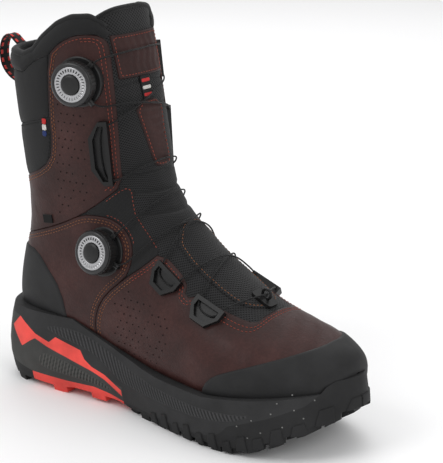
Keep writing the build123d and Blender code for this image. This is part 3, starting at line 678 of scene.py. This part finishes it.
def leather(name, dark, mid, light):
    s = Shader(name, mid, 0.5)
    tone = s.sums("ADD", s.sums("MULTIPLY", s.noise(28, 3), 0.7),
                  s.sums("MULTIPLY", s.noise(420, 2), 0.3))
    # Painted shade: the leather darkens within 8 mm of each panel's edge, along its seams.
    seam_shade = s.sums("MULTIPLY", s.sums("SUBTRACT", 1.0, s.edge()), 0.35)
    s.tint(seam_shade, s.ramp(tone, [(0.3, dark), (0.52, mid), (0.75, light)]), shaded(dark, 0.45))
    s.rough(s.noise(160, 3), 0.36, 0.6)
    s.relief(s.cells(750), 0.28, 0.0004)
    s.relief(s.noise(1500, 3), 0.2, 0.0002)
    s.relief(s.noise(60, 3), 0.25, 0.0012)


leather("leather_brown", (0.02, 0.0072, 0.0062), (0.037, 0.0128, 0.0112), (0.06, 0.0225, 0.0195))
leather("leather_trim", (0.018, 0.0068, 0.006), (0.032, 0.0116, 0.0103), (0.048, 0.0185, 0.0165))


def woven(name, color, pitch, deep, roughness=0.85, turn=0.0, holes=False):
    """A knitted or meshed cloth with its pattern at a pitch in metres."""
    s = Shader(name, color, roughness, sheen=0.1, specular=0.15)
    scale = 0.314 / pitch  # a wave texture repeats every 0.314 over its scale
    warp, weft = s.wave(scale, "X", turn), s.wave(scale, "Y", turn)
    if holes:
        net = s.sums("SUBTRACT", 1.0, s.sums("MULTIPLY", warp, weft))
    else:
        net = s.sums("ADD", s.sums("MULTIPLY", warp, 0.5), s.sums("MULTIPLY", weft, 0.5))
    s.color(net, (0.3 if holes else 0.15, shaded(color, 0.3)), (0.68, color),
            (1.0, shaded(color, 2.3)))
    s.relief(net, 0.7, deep)
    s.relief(s.noise(90, 2), 0.15, 0.0015)


woven("softshell_black", grey(0.0165), 0.0007, 0.0002, 0.88)
woven("mesh_black", grey(0.0095), 0.0019, 0.0007, 0.8, math.pi / 4, True)
woven("flex_mesh_black", grey(0.008), 0.0011, 0.0004)
woven("lining_black", grey(0.016), 0.0012, 0.0003, 0.95)
woven("webbing_black", grey(0.01), 0.0011, 0.0004)
woven("webbing_coral", (0.62, 0.055, 0.045), 0.0011, 0.0003)
woven("webbing_white", (0.62, 0.6, 0.57), 0.0008, 0.0002)
woven("tag_red", (0.5, 0.03, 0.03), 0.0006, 0.0001, 0.8)
woven("tag_blue", (0.02, 0.035, 0.13), 0.0006, 0.0001, 0.8)
woven("lace_black", grey(0.01), 0.0008, 0.0002, 0.6)
woven("footbed_grey", grey(0.07), 0.0016, 0.0003, 0.95)


def moulded(name, color, roughness, scale=500, deep=0.0001, coat=0.0, strength=0.3, ribs=False):
    """Moulded rubber, foam or plastic: uneven in tone, gloss and surface; ribs get painted shade.
    """
    s = Shader(name, color, roughness, coat=coat)
    if ribs:
        # Painted shade in the rib valleys and a painted highlight on the rib crests.
        s.color(s.edge(), (0.2, shaded(color, 0.25)), (0.75, shaded(color, 1.5)))
    else:
        s.color(s.noise(45, 4), (0.3, shaded(color, 0.8)), (0.7, shaded(color, 1.2)))
    s.rough(s.noise(120, 3), roughness - 0.08, roughness + 0.1)
    s.relief(s.noise(scale, 3), strength, deep)


def foam(name, color, ribs=False):
    moulded(name, color, 0.7, 1600, 0.0003, strength=0.45, ribs=ribs)


def thread(name, color):
    moulded(name, color, 0.75, 2500, 0.0002)


moulded("rubber_black", grey(0.017), 0.62, 900, 0.0002)
moulded("rubber_lug", grey(0.016), 0.68, deep=0.0002)
foam("foam_rib_shade", grey(0.034), True)
foam("foam_grey_rib_shade", (0.055, 0.055, 0.052), True)
foam("foam_black", grey(0.026))
foam("foam_grey", (0.046, 0.046, 0.044))
moulded("foam_coral", (0.74, 0.072, 0.058), 0.5, 300)
moulded("rubber_coral", (0.72, 0.068, 0.055), 0.58, deep=0.0002)
moulded("plastic_black", grey(0.0065), 0.36, 700, coat=0.12)
moulded("dial_black", grey(0.011), 0.36, 700, 0.00005, coat=0.2)
moulded("dial_bezel", (0.022, 0.022, 0.023), 0.2, 300, 0.00005, coat=0.3)
# Painted shade of the perforations, over the dark lining seen through them.
moulded("perforation_shade", (0.006, 0.003, 0.003), 0.9)
moulded("board_grey", (0.2, 0.2, 0.19), 0.85)
moulded("rubber_fleck", (0.16, 0.16, 0.155), 0.7)
thread("thread_coral", (0.27, 0.055, 0.034))
thread("thread_tan", (0.24, 0.095, 0.042))
thread("thread_black", grey(0.012))


def brushed(name, color):
    s = Shader(name, color, 0.3, metallic=0.85)
    s.rough(s.noise(300, 3, stretch=(1, 1, 6)), 0.22, 0.42)
    s.relief(s.noise(900, 2), 0.1, 0.00005)


brushed("ring_silver", (0.42, 0.42, 0.43))
brushed("steel", (0.55, 0.55, 0.56))


# ---- upper: inner and base sheets
INNER_LIFT, LINING_LIFT = -1.15, -6.0
TONGUE_CHANNELS = (238, 221, 176, 163, 149)  # sewn across the tongue, z on its middle line


def channel(r, at, width):
    """A groove across the tongue, lower at the sides than in the middle."""
    return np.exp(-((r.z - at + 0.004 * r.y ** 2) / width) ** 2)


top_depth = np.maximum(collar_depth, tongue_depth)
bootie_depth = np.minimum(above_board, top_depth)
patch("tongue_mesh", np.minimum(tongue_depth + 3.0, bootie_depth),
      lambda r: -0.75 + 0.55 * np.clip(r.d / 4, 0, 1) - sum(
          1.1 * channel(r, at, 1.5) for at in TONGUE_CHANNELS), "mesh_black", "tongue")
patch("inner_bootie", bootie_depth, lambda r: np.full(len(r.d), INNER_LIFT), "softshell_black",
      "gusset_lateral", bands=(), step=2)
lining_depth = np.minimum(above_board - 1, top_depth)
shaft_split = upper.z - np.interp(upper.x, *zip(*LINING_SPLIT))
patch("lining_upper_part", np.minimum(lining_depth, shaft_split),
      lambda r: LINING_LIFT - 0.35 * np.sin(r.z * 0.21) * np.sin(r.x * 0.11), "lining_black",
      "lining_shaft", bands=(), back=True, step=2)
patch("lining_foot_part", np.minimum(lining_depth, 0.5 - shaft_split),
      lambda r: np.full(len(r.d), LINING_LIFT), "lining_black",
      ["lining_foot", "toe_puff", "heel_stiffener"], bands=(), back=True, step=2)

# ---- upper: panels
regions = {
    "shaft": SHAFT_TOP + SHAFT_FRONT + NOTCH_TOP[1:] + QUARTER_TOP[1:] + SHAFT_BACK[::-1],
    "quarter": QUARTER_TOP[::-1] + ANKLE_PANEL[1:] + VAMP_SEAM[1:] + [(-30, 20)],
    "gusset": TONGUE_SEAM + VAMP_REAR[1::-1] + ANKLE_PANEL[-2::-1] + NOTCH_TOP[1:2],
    "vamp": VAMP_SEAM[::-1] + VAMP_REAR[1:] + THROAT[1:] + [(330, 140), (330, 20)],
}
side_of = {"lateral": -1, "medial": 1}
ROW_1, ROW_2 = 2.6, 4.6  # stitch rows, in from a panel's edge
looks = {"shaft": (leather_lift(0.9, -0.7, (ROW_1, ROW_2), 0.16), "leather_brown"),
         "quarter": (leather_lift(1.1, -0.6, (ROW_1,), 0.16), "leather_brown"),
         "gusset": (leather_lift(0.6, -1.0, (), 0.1), "softshell_black")}
depths = {region: np.minimum(side_depth(outline, 1), above_board)
          for region, outline in regions.items()}
vamp_depth = depths.pop("vamp")
for region, shape in list(depths.items()):
    for side, sign in side_of.items():
        depths[region, side] = np.minimum(shape, upper.y * sign + 0.05)
        # The inner bootie stands for the lateral gusset already.
        nodes = f"{region}_{side}" if (region, side) != ("gusset", "lateral") else ()
        patch(f"{region}_{side}_skin", depths[region, side], *looks[region], nodes)
patch("vamp_skin", vamp_depth, leather_lift(1.0, -0.65, (ROW_1, ROW_2), 0.22), "leather_brown",
      "vamp")

softshell_lower = np.minimum(side_depth(SHAFT_BACK + SOFTSHELL_SEAM[1:]), above_board)
for name, inside in (
        ("rear_softshell_upper",
         np.minimum(side_depth(SHAFT_TOP[:1] + SOFTSHELL_SEAM + CUFF_BACK[::-1]), above_board)),
        ("rear_softshell_lower", softshell_lower)):
    patch(f"{name}_pad", inside, lambda r: -0.9 + domed(r.d, 1.5, 10) - 0.25 * (r.d < 0.02),
          "softshell_black", name)
cuff_depth = np.minimum(side_depth(COLLAR_TOP + SHAFT_TOP[::-1] + CUFF_BACK), above_board)
patch("collar_cuff_pad", cuff_depth, lambda r: -0.8 + domed(r.d, 2.6, 6),
                "softshell_black", "collar_cuff")

RIM_FROM = 200  # the rims lie above this row of the upper


def rim_rows(inside, down):
    """Where a sheet ends at the top, column by column, sunk into the wall by a depth."""
    rows = []
    for j in range(UPPER_COLUMNS - 1):
        column = inside[RIM_FROM:, j]
        k = np.flatnonzero((column[:-1] > 0) & (column[1:] <= 0))
        row = None
        if len(k):
            i = k[-1] + RIM_FROM
            t = inside[i, j] / (inside[i, j] - inside[i + 1, j])
            row = upper.rows[i, j, :6] * (1 - t) + upper.rows[i + 1, j, :6] * t
            row[:3] -= row[3:] * down
        rows.append(row)
    return rows


rim = rim_rows(collar_depth, 2.6)
front = [k for k, row in enumerate(rim)
         if row is None or tongue_depth[:, k].max() > 0 and row[0] > 94]
ordered = [rim[k % len(rim)] for k in range(front[-1] + 1, front[0] + len(rim))]
ordered = np.array([row for row in ordered if row is not None])
for _ in range(3):
    ordered[1:-1] = (ordered[:-2] + 2 * ordered[1:-1] + ordered[2:]) / 4
tube("collar_rim", ordered, 3.4, 0.9, "softshell_black")
top = [row for row in rim_rows(np.where(upper.x > FRONT_X, tongue_top, -9), 2.9)
       if row is not None and row[0] > 84]
tube("tongue_rim", np.array(top), 3.0, 0.8, "flex_mesh_black")

# ---- upper: patches over the tongue
top_patch, flex_patch = front_depth(TOP_PATCH), front_depth(FLEX_PATCH, 1)
lower_patch = np.where(upper.z > 70, depth(upper.x, upper.y, LOWER_PATCH, 1), -50)
patch("tongue_top_sheet", top_patch,
      lambda r: rolled(r.d, 1.1, 1.0, 0.15) - 0.5 * channel(r, 261, 1.2)
      + 0.12 * np.sin(r.y * 0.9 + 1.3 * np.sin(r.z * 0.31)) * np.clip(r.d / 4, 0, 1),
      "leather_trim", "tongue_top_patch")
patch("ribbon_band", front_depth(RIBBON), lambda r: rolled(r.d, 0.9, 0.6), "webbing_black",
      "tongue_ribbon", "tag_white")
patch("tongue_flex_sheet", flex_patch,
      lambda r: rolled(r.d, 0.8, 1.2) + 0.45 * np.clip(r.d / 3, 0, 1) * (0.5 + 0.5 * np.cos(
          r.z * 1.15 + 0.12 * r.y + 0.6 * np.sin(r.y * 0.3 + r.z * 0.1))),
      "leather_trim", "tongue_flex_patch")
patch("tongue_lower_sheet", lower_patch,
      lambda r: rolled(r.d, 1.0, 1.4) + 0.12 * np.sin(r.x * 0.25) * np.clip(r.d / 4, 0, 1),
      "mesh_black", "tongue_lower_patch")


def box(middle, z, half_width, half_height):
    x0, x1, z0, z1 = middle - half_width, middle + half_width, z - half_height, z + half_height
    return [(x0, z0), (x1, z0), (x1, z1), (x0, z1)]


def stripes(name, z, colours, band, half_height, base, thick, nodes=()):
    """A tag of three stripes: band gives the depth inside each, and the first stands for nodes."""
    for k, colour in enumerate(colours):
        patch(f"{name}_{k}", band(z[k], half_height),
              lambda r: base + rolled(r.d, thick, 0.4), colour, () if k else nodes, "tag_white",
              bands=(0.2, 0.5))


stripes("ribbon_stripe", (237.5, 232.5, 227.5), ("tag_red", "webbing_white", "tag_red"),
        lambda z, half: front_depth(box(0, z, 4.5, half)), 1.2, 0.8, 0.35)

# ---- upper: rubber caps
toe_depth = np.minimum(side_depth(TOE_CAP, 1), above_board)
heel_depth = np.minimum(side_depth(HEEL_CAP, 1), above_board)
caps = np.maximum(toe_depth, heel_depth)
for name, inside in (("toe_cap", toe_depth), ("heel_cap", heel_depth)):
    patch(f"{name}_rubber", inside, lambda r: rolled(r.d, 1.6, 2.2, 0.3), "rubber_black",
          name, bands=(0.25, 0.8, 1.5, 2.2))


# ---- stitching and perforations
def clear_of_caps(x, z):
    """True where a seam isn't under a rubber cap or below the sole's edge."""
    sole_top = np.interp(x, *zip(*FRAME_TOP))
    return (z > sole_top + 1.5) & (depth(x, z, TOE_CAP, 1) < -1) & (depth(x, z, HEEL_CAP, 1) < -1)


def seam(name, inside, levels, lift, look, where=None):
    lines = [line for level in levels for line in chains(inside, level, where)]
    stitches(name, lines, lift, look)


for side in side_of:
    shaft, quarter = depths["shaft", side], depths["quarter", side]
    seam(f"shaft_{side}_front_stitches", shaft, (ROW_1, ROW_2), 0.2, "thread_coral",
         lambda x, y, z: (x > 84) & (z > 160))
    seam(f"shaft_{side}_rear_stitches", shaft, (ROW_1, ROW_2), 0.2, "thread_tan",
         lambda x, y, z: (x < 66) & (z > 143) & (np.abs(y) > 3))
    seam(f"shaft_{side}_top_stitches", shaft, (ROW_1,), 0.2, "thread_coral",
         lambda x, y, z: (x > 52) & (x < 90) & (z > 240))
    seam(f"quarter_{side}_stitches", quarter, (ROW_1, ROW_2), 0.45, "thread_tan",
         lambda x, y, z: clear_of_caps(x, z) & (np.abs(y) > 3) & ((z > 95) | (x > 80)))
    seam(f"gusset_{side}_stitches", depths["gusset", side], (1.8,), -0.35, "thread_coral",
         lambda x, y, z: (x > 100) & (z > 125))
seam("vamp_edge_stitches", vamp_depth, (ROW_1, ROW_2), 0.3, "thread_coral",
     lambda x, y, z: clear_of_caps(x, z) & (x > 128))
seam("vamp_rear_stitches", vamp_depth, (ROW_1, ROW_2), 0.3, "thread_tan",
     lambda x, y, z: clear_of_caps(x, z) & (x <= 128))
seam("tongue_top_stitches", top_patch, (2.0,), 1.1, "thread_coral")
seam("tongue_flex_stitches", flex_patch, (1.5,), 1.0, "thread_coral")
seam("tongue_lower_stitches", lower_patch, (2.2,), 1.0, "thread_tan")
seam("cuff_stitches", cuff_depth, (1.6,), 0.6, "thread_black",
     lambda x, y, z: (z < 262) & (x > 30))
seam("softshell_stitches", softshell_lower, (1.8,), 0.1, "thread_black", lambda x, y, z: z > 176)


def perforated(name, places, sign, allowed, lift, radius):
    """Holes at side view places, where the nearest point of the upper is allowed."""
    spots = []
    for x, z in places:
        p, n = on_side(x, z, sign)
        if allowed.ravel()[np.argmin(np.sum((upper.p - p) ** 2, axis=2))]:
            spots.append((p, n))
    # The dark discs paint the holes: the black lining seen through them, with painted shade.
    dots(name, spots, lift, radius, "perforation_shade")


def hole_rows(rows, columns, x0, z0, dx, dz):
    """Places in rows, every second row moved on by half a step."""
    return [(x0 + dx * (column + row % 2 / 2), z0 + dz * row)
            for row in range(rows) for column in range(columns)]


vamp_places = [(x, z) for x, z in hole_rows(9, 9, 114, 48, 6.2, 5.6)
               if z <= 96 - 0.25 * (x - 114) and (z >= 46 + 0.15 * (x - 114) or x <= 160)]
for side, sign in side_of.items():
    perforated(f"shaft_{side}_perforations", hole_rows(14, 5, 61, 140, 5.6, 6.2), sign,
               depths["shaft", side] > 7, 0.32, 0.64)
    perforated(f"vamp_{side}_perforations", vamp_places, sign,
               (vamp_depth > 8) & (caps < -4), 0.5, 0.6)

# ---- laces
LACE_RADIUS = 0.00062
for name, route in (("upper_lace", UPPER_LACE), ("lower_lace", LOWER_LACE)):
    curve = bpy.data.curves.new(f"{name}_cord", "CURVE")
    curve.dimensions = "3D"
    spline = curve.splines.new("NURBS")
    spline.points.add(len(route) - 1)
    for point, (x, y, z) in zip(spline.points, route):
        point.co = ((x - X0) * 0.001, y * 0.001, z * 0.001, 1)
    spline.order_u = 3
    spline.use_endpoint_u = True
    curve.resolution_u = 8
    curve.bevel_depth = LACE_RADIUS
    curve.bevel_resolution = 3
    curve.use_fill_caps = True
    curve.materials.append(MATERIALS["lace_black"])
    belongs(place(f"{name}_cord", curve), name)

# ---- pull loop
WEBBING_HALF = 4.9
STRAP_SPREAD = np.array([-1, -0.92, -0.4, 0.4, 0.92, 1])
STRAP_RISE = np.array([0.35, 0.85, 1, 1, 0.85, 0.35]) / 2
path = spline_rows(LOOP_PATH, np.linspace(0, len(LOOP_PATH) - 1, 160))
run = unit(np.gradient(path, axis=0))
path_normal = np.stack([run[:, 1], -run[:, 0]], axis=1)
from_axis = path[:, 0] - LOOP_AXIS_X
rounding = np.clip(1 - (np.clip(from_axis, 0, None) / LOOP_END) ** 2, 0, 1)
swinging = np.flatnonzero(from_axis < LOOP_END - 0.1)
swings = slice(swinging[0], swinging[-1] + 1)
sewn = np.flatnonzero(from_axis > LOOP_END + LOOP_GAP)
sewn_ends = {"upper": slice(0, sewn[sewn < swinging[0]][-1] + 1),
             "lower": slice(sewn[sewn > swinging[-1]][0], None)}


def strap(name, part, half, y0, thick, look, nodes=(), body="boot"):
    """A flat woven band along part of the loop's path, its edges slightly rounded."""
    line, normals = path[part], path_normal[part]
    across = STRAP_SPREAD * np.broadcast_to(half, len(line))[:, None] + y0
    across = np.concatenate([across, across[:, ::-1]], axis=1)
    rise = np.concatenate([STRAP_RISE, -STRAP_RISE[::-1]]) * thick
    xz = line[:, None] + normals[:, None] * rise[:, None]
    uvs = np.stack(np.broadcast_arrays(across, run_lengths(line)[:, None]), axis=2)
    loft(name, np.stack([xz[..., 0], across, xz[..., 1]], axis=2), look, nodes,
         body, uvs.reshape(-1, 2))


strap("pull_loop_webbing", swings, WEBBING_HALF * np.sqrt(rounding[swings]), 0, 1.7,
      "webbing_black", "pull_loop", "pull_loop_body")
for end, part in sewn_ends.items():
    strap(f"pull_loop_{end}_stitched", part, WEBBING_HALF, 0, 1.6, "webbing_black",
          f"pull_loop_{end}_end")
for k, y0 in enumerate((-3.2, 3.2)):
    for a in range(swings.start + 10, swings.stop - 14, 9):
        strap(f"pull_loop_dash_{k}_{a}", slice(a, a + 6), 1.2, y0, 2.1, "webbing_coral",
              body="pull_loop_body")


# ---- tag on the shaft's side
stripes("side_stripe", (206.5, 202.0, 197.5), ("tag_red", "webbing_white", "tag_blue"),
        lambda z, half: np.where(upper.y < 0, side_depth(box(50.5, z, 1.9, half)), -9),
        2.1, 0.75, 0.5, "stripe_tag")


# ---- sole: ribs and flecks on the side walls
def ribbed(name, outline, pitch, high, lean, look):
    """A band of slanting moulded ribs on the sole's side wall."""
    def wave(r):
        ribs = np.clip(1.4 * np.cos(2 * math.pi * (r.u + lean * r.z) / pitch), -1, 1)
        return ribs * np.clip(r.d / 2, 0, 1)

    # The shade attribute is the rib wave: painted shade in the valleys, painted highlight on the
    # crests.
    patch(name, side_depth(outline, 1, wall), lambda r: rolled(r.d, 0.25, 1.2) + high * wave(r),
          look, slot="foam_black", grid=wall, shade=lambda r: 0.5 + 0.5 * wave(r))


ribbed("midsole_rib_band", RIB_BAND, 3.2, 0.55, 0.5, "foam_rib_shade")
ribbed("wedge_rib_band", WEDGE_RIBS, 3.0, 0.4, -0.3, "foam_grey_rib_shade")
flecks = [nearest(wall, x, z, sign) for x, z in FLECKS for sign in (-1, 1)]
dots("outsole_flecks", [(wall.p[at], wall.n[at]) for at in flecks], 0.12, 0.6, "rubber_fleck",
     sides=6)

# ---- sole: edge lugs of the forefoot
for side, sign in side_of.items():
    for k, x in enumerate(range(150, 296, 12)):
        foot = np.interp(x + 4, *zip(*GROUND_LINE)) + 1.5
        tall = 11.0 if k % 2 else 8.0
        block = [(x, foot), (x + 8.5, foot + (0.9 if x > 226 else 0)), (x + 7.5, foot + tall + 2),
                 (x + 1.5, foot + tall)]
        patch(f"edge_lug_{side}_{k}", np.where(wall.y * sign > -1, side_depth(block, 0, wall), -9),
              lambda r: rolled(r.d, 1.1, 0.9), "rubber_lug", grid=wall,
              bands=(0.2, 0.5, 0.9))

# ---- dials: faces
NOTCHES, NOTCH_STEPS, NOTCH_DEPTH = 30, 6, 0.6


def lathed(name, joint, outline, look, nodes, body, notch=None):
    """A ring turned about a joint's axis; its points notch and notch + 1 dip at the notches, whose
    floors get painted shade.
    """
    axis = np.array(joint["axis"])
    centre = np.array(joint["pos_m"]) * 1000 + (X0, 0, 0)
    u = unit(np.cross(axis, (0, 0, 1.0)))
    v = np.cross(axis, u)
    steps = NOTCHES * NOTCH_STEPS
    dips = {notch, notch + 1} if notch is not None else ()
    rings = [[centre + (u * math.cos(a) + v * math.sin(a)) * r
              + axis * (h - (NOTCH_DEPTH if n in dips and k % NOTCH_STEPS < 2 else 0))
              for n, (r, h) in enumerate(outline)]
             for k, a in enumerate(np.arange(steps) * 2 * math.pi / steps)]
    obj = loft(name, rings, look, nodes, body, turned=True)
    # Painted shade: the notch floors take the dark bezel material.
    if notch is not None:
        obj.data.materials.append(MATERIALS["dial_bezel"])
        obj.data.polygons.foreach_set("material_index", [
            int(n == notch and k % NOTCH_STEPS < 2)
            for k in range(steps) for n in range(len(outline))])


joints = {joint["name"]: joint for joint in frame["record"]["behaviour"]["joints"]}
for dial in ("upper", "lower"):
    turning, head = joints[f"{dial}_dial_turn"], f"{dial}_head"
    lathed(f"{dial}_dial_face", turning, SILVER, "ring_silver", f"{dial}_dial_ring", head, 4)
    lathed(f"{dial}_dial_bezel", turning, BEZEL, "dial_bezel", (), head)

# ---- rigid nodes from the frame
DIAL_PARTS = "upper_dial_{0} lower_dial_{0}".format
KEPT = (  # look, width of the rounded edges in mm, nodes
    ("rubber_lug", 0.5, "outsole_heel"), ("rubber_lug", 0.6, "outsole_forefoot"),
    ("rubber_coral", 0.5, "outsole_midfoot"), ("foam_black", 1.8, "midsole_frame"),
    ("foam_black", 0.4, "midsole_forefoot"), ("foam_grey", 0.4, "midsole_heel_wedge"),
    ("foam_coral", 0.5, "stabiliser_lateral stabiliser_medial"),
    ("board_grey", 0.3, "insole_board"), ("footbed_grey", 0.3, "footbed"),
    ("webbing_black", 0.3, "side_tag"), ("steel", 0.3, "shank " + DIAL_PARTS("pin")),
    ("dial_black", 0.3, " ".join(map(DIAL_PARTS, ("base", "knob", "cap")))),
    ("plastic_black", 0.3, "vamp_hook " + DIAL_PARTS("spool")),
    ("plastic_black", 0.3, " ".join(node for node in frame["nodes"] if "_guide" in node)),
)
for look, rounding, node in [(*row[:2], node) for row in KEPT for node in row[2].split()]:
    obj = frame["nodes"][node]
    if not obj.material_slots:
        obj.data.materials.append(MATERIALS[look])
    for holder in obj.material_slots:
        holder.material = MATERIALS[look]
    bevel = obj.modifiers.new("rounded", "BEVEL")
    bevel.width = rounding * 0.001
    bevel.segments = 2
    bevel.limit_method = "ANGLE"
    bevel.angle_limit = math.radians(32)
    bevel.harden_normals = False

# ---- studio
floor_mesh = bpy.data.meshes.new("floor")
floor_mesh.from_pydata([(-6, -6, 0), (6, -6, 0), (6, 6, 0), (-6, 6, 0)], [], [(0, 1, 2, 3)])
floor_shader = Shader("floor", (0.95, 0.95, 0.955), 0.8, specular=0.1)
floor_shader.color(floor_shader.noise(3, 2), (0.3, (0.945, 0.945, 0.95)),
                   (0.7, (0.955, 0.955, 0.96)))
floor_mesh.materials.append(floor_shader.material)
place("floor", floor_mesh)

world = bpy.data.worlds.new("studio")
bpy.context.scene.world = world
world.use_nodes = True
sky = world.node_tree.nodes["Background"].inputs
sky["Color"].default_value = (1, 1, 1, 1)
sky["Strength"].default_value = 0.72
bpy.context.scene.view_settings.view_transform = "Standard"

for name, where, aim, width, height, watts in (
        ("key", (-0.6, -1.3, 1.5), (0, 0, 0.12), 1.0, 1.0, 9),
        ("front", (1.5, -0.5, 1.1), (0.05, 0, 0.1), 1.2, 0.8, 6),
        ("top", (0.1, 0.3, 1.8), (0.05, 0, 0.1), 1.4, 1.2, 6),
        ("back", (-1.0, 1.3, 1.2), (0, 0, 0.15), 1.2, 0.8, 6)):
    light = bpy.data.lights.new(name, "AREA")
    light.shape = "RECTANGLE"
    light.size, light.size_y = width, height
    light.energy = watts
    softbox = place(name, light)
    softbox.location = where
    softbox.rotation_mode = "QUATERNION"
    softbox.rotation_quaternion = (Vector(aim) - Vector(where)).to_track_quat("-Z", "Y")

# The camera, fitted to the photograph: its focal length and its aim off the target in pixels.
AZIMUTH, ELEVATION, DISTANCE = math.radians(37.6), math.radians(16.4), 1.246
FOCAL, AIM_RIGHT, AIM_UP, PICTURE_HEIGHT, SENSOR = 1744.4, 32.4, 3.3, 463, 36
back = Vector((math.sin(AZIMUTH) * math.cos(ELEVATION), -math.cos(AZIMUTH) * math.cos(ELEVATION),
               math.sin(ELEVATION)))
right = Vector((math.cos(AZIMUTH), math.sin(AZIMUTH), 0))
target = Vector(((150 - X0) * 0.001, 0, 0.130))
ahead = (-back + right * (AIM_RIGHT / FOCAL) + back.cross(right) * (AIM_UP / FOCAL)).normalized()
right = (right - ahead * right.dot(ahead)).normalized()
camera = place("camera", bpy.data.cameras.new("camera"))
camera.rotation_mode = "QUATERNION"
turn = Matrix((right, right.cross(ahead), -ahead)).transposed()
camera.rotation_quaternion = turn.to_quaternion()
camera.location = target + back * DISTANCE
camera.data.sensor_width = SENSOR
camera.data.lens = FOCAL * SENSOR / PICTURE_HEIGHT
camera.data.clip_start, camera.data.clip_end = 0.05, 30
camera.data.dof.use_dof = False
bpy.context.scene.camera = camera
